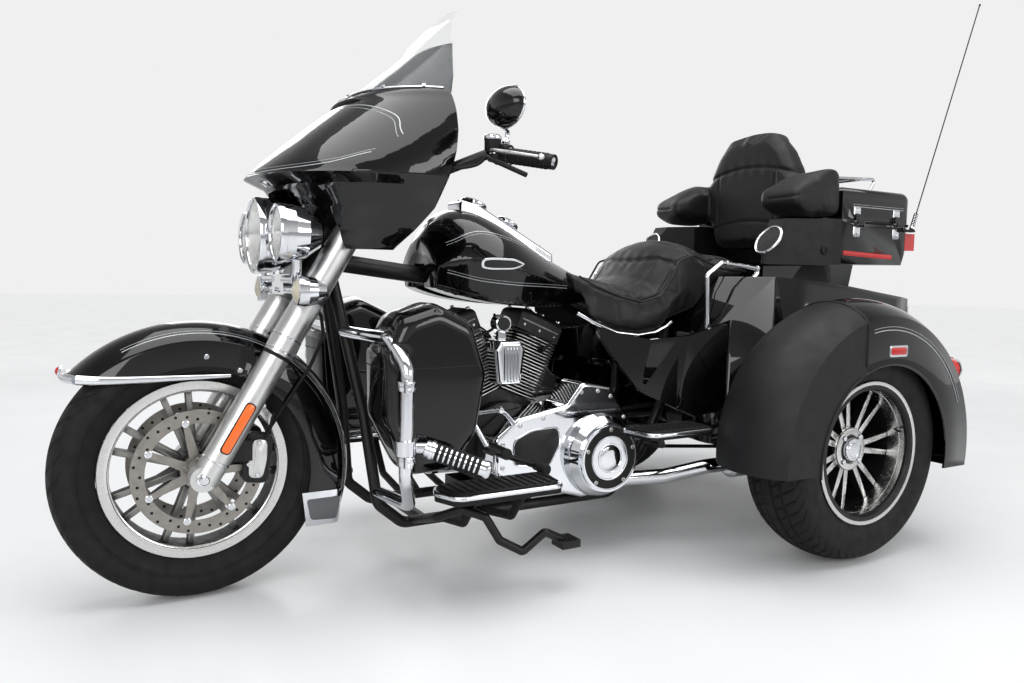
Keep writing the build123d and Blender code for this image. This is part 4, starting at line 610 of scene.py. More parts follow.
class TRIKE_OT_wheel_faces(bpy.types.Operator):
    """Adds the machined lips, spoke faces, caps and bolts of the three wheels"""
    bl_idname = "trike.wheel_faces"
    bl_label = "Add Wheel Faces"

    def execute(self, context):
        lips, faces = [], []
        for side in (-1, 1):
            lips.append(ring_lathe(((217.6, 38.6), (218.2, 43.0), (216.5, 44.4), (206, 44.2), (196, 43.4),
                                    (190.9, 40.5), (190.4, 37), (191.4, 36.4), (192.2, 38.4), (206, 41.5)),
                                   FRONT_AXLE, (side, 0, 0), 120))
            faces += spoke_faces(FRONT_AXLE, side, 46, 190, 14)
        piece("front_wheel_lips", lips, "turned_aluminium", "front_wheel")
        piece("front_spoke_faces", faces, "machined_spoke", "front_wheel")
        for side, word in ((1, "left"), (-1, "right")):
            centre = np.array((side * REAR_AXLE[0], REAR_AXLE[1], REAR_AXLE[2]))
            out = (side, 0, 0)
            lip = ring_lathe(((204.8, 88), (205.2, 93.2), (203.5, 94.6), (196, 94.4), (189, 91.0),
                              (184, 86.5), (178.2, 84.0), (177.1, 70), (176.8, 40), (176.8, 23.5),
                              (178.4, 23.5), (178.8, 80), (190, 86)), centre, out, 160)
            groove = ring_lathe(((176.9, 62), (175.9, 61), (175.9, 59), (176.9, 58)), centre, out, 120)
            body = f"rear_wheel_{word}"
            piece(f"rear_wheel_lip_{word}", [lip, groove], "turned_aluminium", body)
            hub = ring_lathe(((40, 28.4), (61, 28.4), (62.6, 26.6), (62.6, 20), (60.5, 31), (56, 32.2),
                              (44, 32.2)), centre, out, 64)
            piece(f"rear_spoke_faces_{word}", spoke_faces(centre, side, 62, 176.6, 21) + [hub],
                  "turned_aluminium", body)
            cap = lathe(((0, 28), (33, 28), (33.5, 38), (31, 41.5), (27, 42.2), (26, 40.8), (22, 40.6),
                         (21, 42), (10, 43), (0, 43.2)), centre, out, 48)
            ring = ring_lathe(((24.8, 40.5), (25.6, 42.4), (27.4, 42.4), (28.2, 40.5)), centre, out, 48)
            piece(f"rear_wheel_cap_{word}", [cap, ring], CHROME, body)
            turn = np.radians(np.array((45, 135, 225, 315)))
            lugs = bolts(circle_about(centre, side * 29 / 1000, 0.048, turn), out, 8, 9)
            piece(f"rear_wheel_bolts_{word}", lugs, CHROME, body)
            stem = np.array(((side * 0.052, 0.165, 0.05), (side * 0.066, 0.158, 0.048),
                             (side * 0.08, 0.155, 0.047)))
            piece(f"rear_valve_{word}", tube(smooth_path(centre + stem), 3.2, around=10), RUBBER, body)
        return {"FINISHED"}


class TRIKE_OT_brakes(bpy.types.Operator):
    """Adds dark discs as painted shade in the front discs' drilled holes, the discs' bobbins and screws, and
    the calipers' covers, screws and hose ends
    """
    bl_idname = "trike.brakes"
    bl_label = "Add Brake Details"

    def execute(self, context):
        holes, buttons, screws = [], [], []
        turn = turns(36)
        radius = np.tile((0.128, 0.136, 0.143), 12)
        # Each drilled hole is a thin dark disc on the disc's face: painted shade in place of a hole cut
        # through
        hole = lathe(((0, -0.3), (3.6, -0.3), (3.6, 0.25), (2.6, 0.4), (0, 0.3)), (0, 0, 0), UP, 12, REAR)
        button = lathe(((0, -0.5), (9, -0.5), (9, 2.2), (7.6, 3.2), (4, 3.2), (3.4, 2.4), (0, 2.4)),
                       (0, 0, 0), UP, 20, REAR)
        arms = turns(7)
        for side in (-1, 1):
            for face in (-1, 1):
                x = side * 0.066 + face * 0.0025
                ways = np.broadcast_to((face, 0.0, 0.0), (36, 3))
                holes.append(place_all(hole, circle_about(FRONT_AXLE, x, radius, turn), ways))
                buttons.append(place_all(button, circle_about(FRONT_AXLE, x, 0.121, arms), ways[:7]))
            five = np.linspace(0.3, FULL_TURN + 0.3, 5, endpoint=False)
            screws.append(bolts(circle_about(FRONT_AXLE, side * 0.0685, 0.03, five), (side, 0, 0), 5.5, 5))
        # The dark discs take the black nylon finish as painted shade in the drilled holes
        piece("disc_hole_shade", holes, NYLON, "front_wheel")
        piece("disc_bobbins", buttons, CHROME, "front_wheel")
        piece("disc_screws", screws, MACHINED, "front_wheel")
        plates, bolts_on, hoses = [], [], []
        outline = round_corners(((-17, -48), (17, -48), (22, 0), (17, 48), (-17, 48), (-22, 0)), 14)
        plates.append(slab(outline, 7, at(88.5, 134, 342), LEFT, 2.2, up=(0, 0.14, 1)))
        inset = oblong(9, 30, 7)
        plates.append(slab(inset, 3, at(95.2, 134, 342), LEFT, 1.0, up=(0, 0.14, 1)))
        bolts_on.append(bolts(spots((95, 131, 302), (95, 137, 382), (89, 112, 330), (89, 116, 356)), LEFT,
                              6, 6))
        hoses.append(tube(smooth_path(spots((86, 150, 392), (96, 162, 412), (98, 168, 440),
                                            (90, 176, 452))), 4.2))
        piece("caliper_covers", pair(plates), "lacquered_cast_aluminium", "fork")
        piece("caliper_screws", pair(bolts_on), CHROME, "fork")
        piece("caliper_hose_ends", pair(hoses), RUBBER, "fork")
        return {"FINISHED"}


# Fork, front fender, lamps, fairing and bars

RAKE = math.radians(30.5)
LEG_WAY = np.array((0, math.sin(RAKE), math.cos(RAKE)))


def leg(x, along, out=0.0, ahead=0.0):
    """A point in metres on a fork leg: along it from the axle, outward and ahead of its line."""
    ahead_way = np.array((0, -LEG_WAY[2], LEG_WAY[1]))
    return at(x + math.copysign(out, x), 7, 318) + (LEG_WAY * along + ahead_way * ahead) / 1000


class TRIKE_OT_fork_trim(bpy.types.Operator):
    """Adds the fork's seals, cover bands, reflectors, axle nuts and pinch bolts"""
    bl_idname = "trike.fork_trim"
    bl_label = "Add Fork Trim"

    def execute(self, context):
        seals, bands, nuts, glass, frames, screws = [], [], [], [], [], []
        for x in (-130, 130):
            out = math.copysign(1, x)
            seals.append(ring_lathe(((33.2, -9), (34.6, -8), (34.6, -1), (33.2, 0)), leg(x, 330), LEG_WAY,
                                    48))
            for along in (336, 372):
                bands.append(ring_lathe(((36.1, 0), (37.4, 0.8), (37.4, 5.2), (36.1, 6)), leg(x, along),
                                        LEG_WAY, 56))
            bands.append(ring_lathe(((33.1, 0), (34.4, 1), (34.4, 5), (33.1, 6)), leg(x, 40), LEG_WAY, 48))
            nuts.append(lathe(((0, -1), (17, -1), (17.5, 3), (16, 7), (12, 8), (11, 13), (9, 15.5), (0, 16)),
                              at(x + out * 22, 0, 318), (out, 0, 0), 36))
            screws.append(bolts(np.array((leg(x, 4, 8, -27), leg(x, 26, 8, -27))), (0, 1, -0.4), 5, 5))
            plate = oblong(13, 66, 11)
            lens = oblong(10.5, 63, 9.5)
            frames.append(slab(plate, 4, leg(x, 134, 32), (out, 0, 0), 1.2, up=tuple(LEG_WAY)))
            glass.append(slab(lens, 5.5, leg(x, 134, 33), (out, 0, 0), 1.6, up=tuple(LEG_WAY)))
        piece("fork_seals", seals, RUBBER, "fork")
        piece("fork_bands", bands, CHROME, "fork")
        piece("axle_nuts", nuts, CHROME, "fork", sharp=25)
        piece("fork_pinch_bolts", screws, CHROME, "fork")
        piece("fork_reflector_mounts", frames, NYLON, "fork")
        piece("fork_reflectors", glass, "amber_acrylic", "fork")
        return {"FINISHED"}


FENDER_CENTRE = (5, 300)  # mm behind the axle and above the ground


def fender_point(angle, x, radius):
    """A point in mm on the front fender: an angle in degrees from the rear horizon round its own centre."""
    turn = math.radians(angle)
    return (x, FENDER_CENTRE[0] + radius * math.cos(turn), FENDER_CENTRE[1] + radius * math.sin(turn))


TIP_LAMP = (at(0, -284, 566), (0, -1, 0.25))  # where the front fender's lamp sits, and its way


class TRIKE_OT_fender_trim(bpy.types.Operator):
    """Adds the front fender's pinstripes, level chrome spear, tip lamp, screws and tail insert"""
    bl_idname = "trike.fender_trim"
    bl_label = "Add Fender Trim"

    def execute(self, context):
        lines = []
        for x, width in ((66, 2.4), (60, 1.2)):
            start = spots(*[fender_point(a, x, 402) for a in np.linspace(118, -14, 14)])
            middles = spots(*[fender_point(a, x, 0) for a in np.linspace(118, -14, 90)])
            inward = unit(middles - smooth_path(start, 90))
            lines.append(strip_on("front_fender", start, inward, width, 0.35, 90))
        piece("fender_pinstripes", pair(lines), PINSTRIPE, "fork")
        spear = []
        for side in (-1, 1):
            x = side * 82.4
            path = smooth_path(spots((x, 74, 548), (x, -20, 548), (x, -130, 548), (x * 0.985, -200, 549),
                                     (x * 0.86, -252, 552)), 40)
            spear.append(tube(path, np.linspace(3.2, 7.5, 40), flat=1.5))
        nose = tube(smooth_path(both_ways((0, -279, 555), (40, -273, 554), (70, -254, 552)), 30),
                    8.5, around=14, flat=1.2)
        piece("fender_spear", spear + [nose], CHROME, "fork")
        bead = lathe(((0, 9), (5, 8.4), (9, 5), (10.5, 0), (10.5, -3), (0, -3)), *TIP_LAMP, 28)
        frame_ring = ring_lathe(((10.4, -3), (13, -3), (13, 2), (11.6, 3.4), (10.4, 2.6)), *TIP_LAMP, 32)
        piece("fender_tip_lens", bead, "red_acrylic", "fork")
        piece("fender_tip_ring", frame_ring, CHROME, "fork")
        places = beside(82, (20, 596), (96, 560), (120, 512), (150, 470))
        piece("fender_screws", [pair(bolts(places, LEFT, 6.5, 4))], CHROME, "fork")
        plan = smooth_path(((-84, 244), (-84, 300), (-80, 340), (-52, 356), (0, 360), (52, 356), (80, 340),
                            (84, 300), (84, 244)), 90)
        facing = unit(np.stack((-np.gradient(plan[:, 1]), np.gradient(plan[:, 0])), -1))
        rings = []
        for height, out in ((240, 0), (240, 1.8), (154, 1.8), (152, 0.6), (152, -1.2), (240, -1.2)):
            rim_line = plan + facing * out
            rim_line[:, 1] = 300 + (rim_line[:, 1] - 300) * (1 - (240 - height) * 0.0021)
            rings.append(metres(np.column_stack((rim_line, np.full(len(plan), float(height))))))
        piece("fender_tail_frame", [rings_shape(np.stack(rings, 1))], CHROME, "fork")
        insert = round_corners(((-36, -28), (30, -32), (42, 26), (-46, 26)), 9)
        piece("fender_tail_insert", [pair(slab(insert, 2.6, at(85.4, 301, 196), LEFT, 1))],
              "lacquered_grey_panel", "fork")
        return {"FINISHED"}


def lamp_face(centre, radius, depth, bulb):
    """A lamp's chrome rim, reflector bowl, lens and bulb, turned about a line along -Y."""
    way, turn = AHEAD, 64
    rim_ring = ring_lathe(((radius - 9, 1), (radius - 8.5, 4), (radius - 5, 7), (radius - 1, 5.5),
                           (radius + 1.2, 0), (radius + 1.4, -9), (radius - 0.2, -10), (radius - 1.5, -2)),
                          centre, way, turn)
    steps = np.linspace(0, 1, 14)
    bowl = [(radius * 0.93 * t, -depth * (1 - t ** 2)) for t in steps]
    bowl_back = [(radius * 0.93 * t + 0.6, -depth * (1 - t ** 2) - 0.8) for t in steps[::-1]]
    mirror_bowl = lathe(bowl + bowl_back[:-1] + [(0, -depth - 0.8)], centre, way, turn)
    dome = [(radius * 0.9 * t, 7 * (1 - t ** 2) + 2.5) for t in steps]
    dome_back = [(radius * 0.9 * t, 7 * (1 - t ** 2) - 0.5) for t in steps[::-1]]
    lens = lathe(dome + dome_back, centre, way, turn)
    light_at = np.asarray(centre) + np.array((0, depth / 1000, 0))
    bulb_body = lathe(((0, 2), (bulb, 2), (bulb, 10), (bulb * 0.7, depth * 0.62), (bulb * 0.4, depth * 0.72),
                       (0, depth * 0.74)), light_at, way, 28)
    return rim_ring, mirror_bowl, lens, bulb_body


LAMP_HEIGHT, SIGNAL_HEIGHT = 890, 755  # mm above the ground


class TRIKE_OT_lamps(bpy.types.Operator):
    """Adds the lenses, reflector bowls, rims and bulbs of the front lamps and the turn signals"""
    bl_idname = "trike.lamps"
    bl_label = "Add Lamps"

    def execute(self, context):
        rims, bowls, glass, bulbs = [], [], [], []
        for parts in (lamp_face(at(0, 150, LAMP_HEIGHT), radius=95, depth=50, bulb=13),
                      lamp_face(at(180, 163, LAMP_HEIGHT), radius=68, depth=30, bulb=9),
                      lamp_face(at(-180, 163, LAMP_HEIGHT), radius=68, depth=30, bulb=9)):
            for kept, made in zip((rims, bowls, glass, bulbs), parts):
                kept.append(made)
        piece("lamp_rims", rims, CHROME, "fork")
        piece("lamp_reflectors", bowls, "metallised_reflector", "fork")
        piece("lamp_lenses", glass, "clear_lens", "fork")
        piece("lamp_bulbs", bulbs, CHROME, "fork")
        shades, lenses = [], []
        for x in (-205, 205):
            centre = at(x, 203, SIGNAL_HEIGHT)
            shades.append(ring_lathe(((31, 0), (32, 3.5), (36.2, 2), (37.4, -4), (37.2, -16), (35.9, -16),
                                      (35.6, -3)), centre, AHEAD, 48))
            dome = [(31.5 * t, 12 * (1 - t ** 2)) for t in np.linspace(0, 1, 10)]
            lenses.append(lathe(dome + [(31.5, -2), (0, -2)], centre, AHEAD, 48))
        piece("signal_rims", shades, CHROME, "fork")
        piece("signal_lenses", lenses, "smoked_lens", "fork")
        clamp = [ring_lathe(((11.2, -9), (14, -9), (14, 9), (11.2, 9)), at(x, 217, SIGNAL_HEIGHT), LEFT, 36)
                 for x in (-150, 150)]
        screws = [bolts(spots((60 * s, 196, 755), (36 * s, 206, 800)), AHEAD, 6, 5) for s in (-1, 1)]
        piece("lamp_bar_clamps", clamp + screws, CHROME, "fork")
        return {"FINISHED"}


class TRIKE_OT_fairing_trim(bpy.types.Operator):
    """Adds the fairing's double pinstripe, slot vent, gauges, and the screen's base strip and screws"""
    bl_idname = "trike.fairing_trim"
    bl_label = "Add Fairing Trim"

    def execute(self, context):
        ahead = REAR
        lines = []
        for drop, width in ((0, 2.6), (8, 1.3)):
            path = both_ways((0, 40, 1221 - drop), (86, 40, 1218 - drop), (170, 40, 1208 - drop),
                             (246, 40, 1178 - drop), (284, 40, 1128 - drop))
            lines.append(strip_on("fairing", path, ahead, width, 0.4, 120))
            low = both_ways((0, 40, 1037 + drop), (150, 40, 1040 + drop), (240, 40, 1052 + drop),
                            (280, 40, 1080 + drop))
            lines.append(strip_on("fairing", low, ahead, width * 0.8, 0.4, 100))
        piece("fairing_pinstripes", lines, PINSTRIPE, "fork")
        hits, normals = cast("fairing", smooth_path(both_ways((0, 100, 1234), (120, 100, 1232)), 40), ahead)
        vent = tube(hits + normals * 0.0004,
                    np.concatenate((np.linspace(1, 7, 6), np.full(28, 7.5), np.linspace(7, 1, 6))),
                    around=12, flat=1.0)
        piece("fairing_vent", vent, NYLON, "fork")
        bars = [tube(hits[2:-2] + normals[2:-2] * 0.002 + (0, 0, dz / 1000), 1.1, around=8)
                for dz in (-9.2, 9.2)]
        base = smooth_path(both_ways((0, 386, 1258), (130, 420, 1257), (205, 505, 1256), (238, 571, 1255)),
                           90)
        hits, normals = cast("windshield", base - (0, 0.14, 0), ahead)
        piece("screen_base_strip", bars + [tube(hits + normals * 0.0015 + (0, 0, 0.003), 5.5, flat=0.7)],
              CHROME, "fork")
        places = hits[10:-10:17] + normals[10:-10:17] * 0.006 + (0, 0, 0.004)
        piece("screen_screws", [bolts(places, unit(normals[10:-10:17]), 5, 3)], CHROME, "fork")
        dials, faces = [], []
        for x, r in ((-62, 46), (62, 46), (-160, 28), (160, 28)):
            centre = at(x, 511, 1168)
            dials.append(ring_lathe(((r, -2), (r + 6, -2), (r + 6, 6), (r + 3, 9), (r, 7)), centre,
                                    (0, 1, 0.1), 48))
            faces.append(lathe(((0, -1), (r, -1), (r, 1.5), (r * 0.9, 2), (r * 0.16, 2), (r * 0.14, 5),
                                (0, 5.5)), centre, (0, 1, 0.1), 48))
        piece("gauge_rims", dials, CHROME, "fork")
        piece("gauge_faces", faces, NYLON, "fork")
        return {"FINISHED"}


# mm: the height, and there the half width, the middle's place and the sides' place behind the front axle
SCREEN = ((1252.3, 244, 390, 570), (1300, 234, 446, 580), (1350, 216, 506, 586), (1400, 192, 562, 596),
          (1450, 162, 612, 612), (1478, 142, 635, 628), (1492, 120, 645, 640), (1500, 96, 650, 648),
          (1504, 60, 653, 652))


def screen_grid(low, high, narrow, back, rows, columns):
    """Points of the bent screen between two heights: each level is an arc through its middle and its two
    sides, narrowed and set back by mm."""
    table = np.array(SCREEN, float)
    z = np.linspace(low, high, rows)
    half = np.interp(z, table[:, 0], table[:, 1]) - narrow
    front = np.interp(z, table[:, 0], table[:, 2]) + back
    side = np.interp(z, table[:, 0], table[:, 3]) + back
    u = np.linspace(-1, 1, columns)[None, :]
    sag = side - front
    radius = (half ** 2 + sag ** 2) / (2 * np.maximum(sag, 1e-3))
    turn = np.arcsin(np.clip(half / radius, -1, 1))
    turn = np.where(sag > half, math.pi - turn, turn)[:, None] * u
    x = radius[:, None] * np.sin(turn)
    y = front[:, None] + radius[:, None] * (1 - np.cos(turn))
    return np.stack((x, y, np.broadcast_to(z[:, None], x.shape)), -1)


def sheet_shape(grid, thickness):
    """A sheet in metres from a grid in mm: the same grid twice, the second set back by the thickness, joined
    round the edge."""
    front = metres(grid)
    loop = np.concatenate((front, (front + (0, thickness / 1000, 0))[:, ::-1]), 1)
    return rings_shape(loop)


class TRIKE_OT_screen(bpy.types.Operator):
    """Adds the clear recurved screen and the dark deflector behind it"""
    bl_idname = "trike.screen"
    bl_label = "Add Screen"

    def execute(self, context):
        clear = sheet_shape(screen_grid(1252.8, 1504, 0.6, 0, 70, 49), 3.6)
        piece("clear_screen", clear, "clear_polycarbonate", "fork", ("windshield",), sharp=50)
        dark = sheet_shape(screen_grid(1256, 1392, 26, 14, 24, 33), 2.5)
        piece("dark_deflector", dark, "smoked_polycarbonate", "fork", sharp=50)
        return {"FINISHED"}


MIRROR = (450, 621, 1183)  # mm, the middle of the left mirror


class TRIKE_OT_bars(bpy.types.Operator):
    """Adds the grips' ribs, levers, switches, clamps, mirror glasses and cables on the handlebar"""
    bl_idname = "trike.bars"
    bl_label = "Add Bar Details"

    def execute(self, context):
        inner, outer = at(312, 650, 1100), at(462, 735, 1068)
        along = unit(outer - inner)
        start = outer - along * 0.119
        rubber, chrome, levers, black, glass = [], [], [], [], []
        for k in range(9):
            rubber.append(ring_lathe(((17.6, 0), (19.4, 1.5), (19.4, 6.5), (17.6, 8)),
                                     start + along * (0.006 + k * 0.0117), along, 36))
        chrome.append(ring_lathe(((12, -6), (20, -6), (20.5, -3), (20, 1), (12, 1)), start, along, 40))
        chrome.append(lathe(((0, 6), (8, 5.6), (15, 3), (17.5, 0), (17.5, -3), (0, -3)), outer, along, 40))
        ahead = unit(np.cross(along, UP))
        root = start - along * 0.03 + np.array((0, 0, 0.004))
        way = ahead if ahead[1] < 0 else -ahead
        path = smooth_path(np.array((root + way * 0.03, root + way * 0.058 + along * 0.02,
                                     root + way * 0.066 + along * 0.07, root + way * 0.062 + along * 0.12,
                                     root + way * 0.058 + along * 0.152)), 36)
        levers.append(tube(path, np.linspace(6.2, 4.4, 36), around=14, flat=0.8))
        levers.append(lathe(((0, 8), (5, 6.5), (8, 0), (5, -6.5), (0, -8)), path[-1], along, 24))
        levers.append(lathe(((0, -9), (9, -9), (9, 9), (6, 10.5), (0, 10.5)), path[0], UP, 30))
        tank_at = root + way * 0.03 + np.array((0, 0, 0.014))
        chrome.append(lathe(((0, 0), (22, 0), (23, 3), (22, 9), (19, 11.5), (0, 12.2)),
                            tank_at + (0, 0, 0.012), UP, 36))
        black.append(lathe(((0, -18), (15, -18), (20, -12), (20.5, 12), (0, 13)), tank_at, UP, 30))
        for k in range(4):
            spot = start - along * (0.016 + 0.013 * (k % 2)) + np.array((0, 0.019, 0.008 - 0.014 * (k // 2)))
            black.append(lathe(((0, 7), (4, 6.4), (5.2, 4), (5.2, -4), (0, -4)), spot, (0, 1, 0.2), 18))
        clamp = [ring_lathe(((20, -3), (22.5, -3), (22.5, 3), (20, 3)), start - along * 0.05, along, 40)]
        mirror_at = at(*MIRROR)
        oval = np.array([(0.073 * math.cos(a), 0, 0.0445 * math.sin(a)) for a in turns(72)])
        rim_path = oval + mirror_at + (0, 0.0005, 0)
        chrome.append(loop_tube(rim_path, 3.2, REAR, 10))
        disc = np.stack([rim_path * t + (mirror_at + (0, 0.001, 0)) * (1 - t) + (0, 0.002 * (1 - t ** 2), 0)
                         for t in (0.97, 0.8, 0.5, 0.2)])
        back = (disc[0] - (0, 0.002, 0))[None]
        glass.append(rings_shape(np.concatenate((back, disc))))
        piece("grip_ribs", pair(rubber), RUBBER, "fork")
        piece("bar_chrome", pair(chrome + clamp), CHROME, "fork")
        piece("bar_levers", pair(levers), "lacquered_cast_aluminium", "fork")
        piece("bar_switches", pair(black), NYLON, "fork")
        piece("mirror_glasses", pair(glass), "metallised_reflector", "fork")
        run = spots((330, 600, 1064), (250, 520, 1052), (170, 486, 1046), (100, 470, 1030))
        hose = tube(smooth_path(np.vstack((tank_at + (-0.018, 0.0, -0.012), run)), 40), 4, around=10)
        piece("bar_hoses", pair(hose), RUBBER, "fork")
        return {"FINISHED"}


# Tank, engine, lower fairings, boards

DIAL = (at(0, 762, 1000), (0, 0.35, 0.94))  # where the console's dial sits, and its way


class TRIKE_OT_tank_trim(bpy.types.Operator):
    """Adds the tank's pinstripes, plain side plates and seams, and the console's cap, dial and screws"""
    bl_idname = "trike.tank_trim"
    bl_label = "Add Tank Trim"

    def execute(self, context):
        lines = []
        for inset, width in ((0, 2.4), (7, 1.2)):
            path = beside(300, (620, 886 - inset), (700, 918 - inset), (800, 904 - inset),
                          (900, 872 - inset), (1000, 822 - inset))
            lines.append(strip_on("fuel_tank", path, RIGHT, width, 0.4, 70))
            low = beside(300, (618, 806 + inset), (700, 786 + inset), (800, 776 + inset),
                         (900, 772 + inset), (1000, 768 + inset))
            lines.append(strip_on("fuel_tank", low, RIGHT, width * 0.8, 0.4, 70))
        piece("tank_pinstripes", pair(lines), PINSTRIPE, "chassis")
        hits, normals = cast("fuel_tank", spots((300, 752, 832)), RIGHT)
        outline = round_corners(((-62, -13), (-30, -17), (34, -15), (66, 0), (34, 15), (-30, 17),
                                 (-62, 13)), 12)
        way = normals[0]
        rim_plate = slab(outline, 3.4, hits[0] - way * 0.001, way, 1.4)
        inner = slab(outline * (0.88, 0.7), 3.9, hits[0] - way * 0.001, way, 0.6)
        piece("tank_plate_rims", pair(rim_plate), CHROME, "chassis")
        piece("tank_plates", pair(inner), ENAMEL, "chassis")
        seam = strip_on("fuel_tank", beside(300, (604, 772), (700, 747), (850, 727), (1000, 725)), RIGHT,
                        3.4, 0.9, 60)
        piece("tank_seam", pair(seam), ENAMEL, "chassis")
        cap = lathe(((0, -2), (34, -2), (35.5, 1), (35, 8), (32, 11), (24, 12.4), (23, 11.4), (16, 12),
                     (0, 13.5)), at(0, 872, 951), (0, 0.47, 0.88), 72)
        dial = lathe(((0, -2), (38, -2), (39.5, 1), (39, 9), (36, 12), (34, 10.5), (0, 10.5)), *DIAL, 72)
        dial_face = lathe(((0, 10), (33.5, 10), (33.5, 11.2), (6, 11.4), (5, 13), (0, 13.2)), *DIAL, 60)
        screws = bolts(beside(0, (716, 1010), (812, 982), (925, 924), (985, 892)), (0, 0.4, 0.9), 5, 4)
        piece("console_caps", [cap, dial], CHROME, "chassis")
        piece("console_dial_face", dial_face, NYLON, "chassis")
        piece("console_screws", screws, MACHINED, "chassis")
        return {"FINISHED"}


BORE_LEAN = 22.5  # degrees from upright, forward and back
FIN_COUNT, FIN_PITCH, FIRST_FIN = 19, 9.5, 154  # the cooling fins, with mm up the bore


def bore_place(side, points):
    """Points in metres from mm in one cylinder's own frame, whose Z runs up its leaning bore."""
    p = np.asarray(points, float)
    lean = math.radians(-side * BORE_LEAN)
    c, s = math.cos(lean), math.sin(lean)
    return np.stack((p[:, 0], 820 + p[:, 1] * c - p[:, 2] * s + FRONT_AXLE[1] * 1000,
                     315 + p[:, 1] * s + p[:, 2] * c), -1) / 1000


class TRIKE_OT_engine_trim(bpy.types.Operator):
    """Adds the fins' bright edges, rocker screws and lines, plug caps and leads, and the horn cover's ribs,
    ring and knob face
    """
    bl_idname = "trike.engine_trim"
    bl_label = "Add Engine Trim"

    def execute(self, context):
        edges, screws, leads, caps, ribs = [], [], [], [], []
        square = oblong(74.4, 74.4, 28, 5)
        for side in (-1, 1):
            way = unit(np.array((0, -math.sin(math.radians(-side * BORE_LEAN)),
                                 math.cos(math.radians(BORE_LEAN)))))
            for k in range(FIN_COUNT):
                height = FIRST_FIN + k * FIN_PITCH + 1.6
                path = bore_place(side, np.column_stack((square, np.full(len(square), height))))
                limit = (820 + side * 3) / 1000 + FRONT_AXLE[1]
                path[:, 1] = np.minimum(path[:, 1], limit) if side < 0 else np.maximum(path[:, 1], limit)
                keep = np.concatenate(([True], np.linalg.norm(np.diff(path, axis=0), axis=1) > 1e-5))
                edges.append(loop_tube(path[keep], 1.55, way, 6))
            tops = bore_place(side, ((-52, -60, 399), (52, -60, 399), (-52, 60, 399), (52, 60, 399),
                                     (52, 0, 399), (-52, 0, 399)))
            screws.append(bolts(tops, way, 6, 5))
            rows = bore_place(side, ((62, -55, 352), (62, 0, 352), (62, 55, 352)))
            screws.append(bolts(rows, LEFT, 4.5, 4))
            line = np.column_stack((np.full(12, 62.2), np.linspace(-66, 66, 12), np.full(12, 366)))
            ribs.append(tube(bore_place(side, line), 2.2, up=LEFT, around=8))
            plug = bore_place(side, ((74, side * 20, 300),))[0]
            caps.append(lathe(((0, -4), (9, -4), (10, 2), (8, 10), (6, 24), (0, 26)), plug, (1, 0, 0.2), 20))
            lead = np.array((plug + (0.024, 0, 0.004), plug + (0.03, side * 0.01, 0.03),
                             at(96, 815 + side * 36, 650), at(60, 815 + side * 10, 690)))
            leads.append(tube(smooth_path(lead, 30), 4, around=10))
        piece("fin_edges", edges, MACHINED, "chassis", sharp=60)
        piece("rocker_screws", screws, CHROME, "chassis")
        piece("rocker_lines", ribs, MACHINED, "chassis")
        piece("plug_caps", caps, RUBBER, "chassis")
        piece("plug_leads", leads, RUBBER, "chassis")
        bars = [tube(smooth_path(spots((167, y, 506 + abs(y - 802) * 0.3), (169.5, y, 520), (169.5, y, 585),
                                       (167, y, 604)), 16), 2.6, up=REAR, around=8)
                for y in (782, 792, 802, 812, 822)]
        knob = at(121, 802, 666)
        ring = ring_lathe(((19, 0), (24, 0), (24.5, 2), (22, 3.4), (19.4, 2.4)), knob, LEFT, 48)
        piece("horn_cover_ribs", bars + [ring], CHROME, "chassis")
        mesh_disc = lathe(((0, -1), (18.5, -1), (18.5, 1.2), (0, 2.2)), knob, LEFT, 40)
        piece("horn_knob_face", mesh_disc, "wrinkle_black_casting", "chassis")
        return {"FINISHED"}


CLUTCH = (1072, 288)  # mm, the middle of the clutch cover


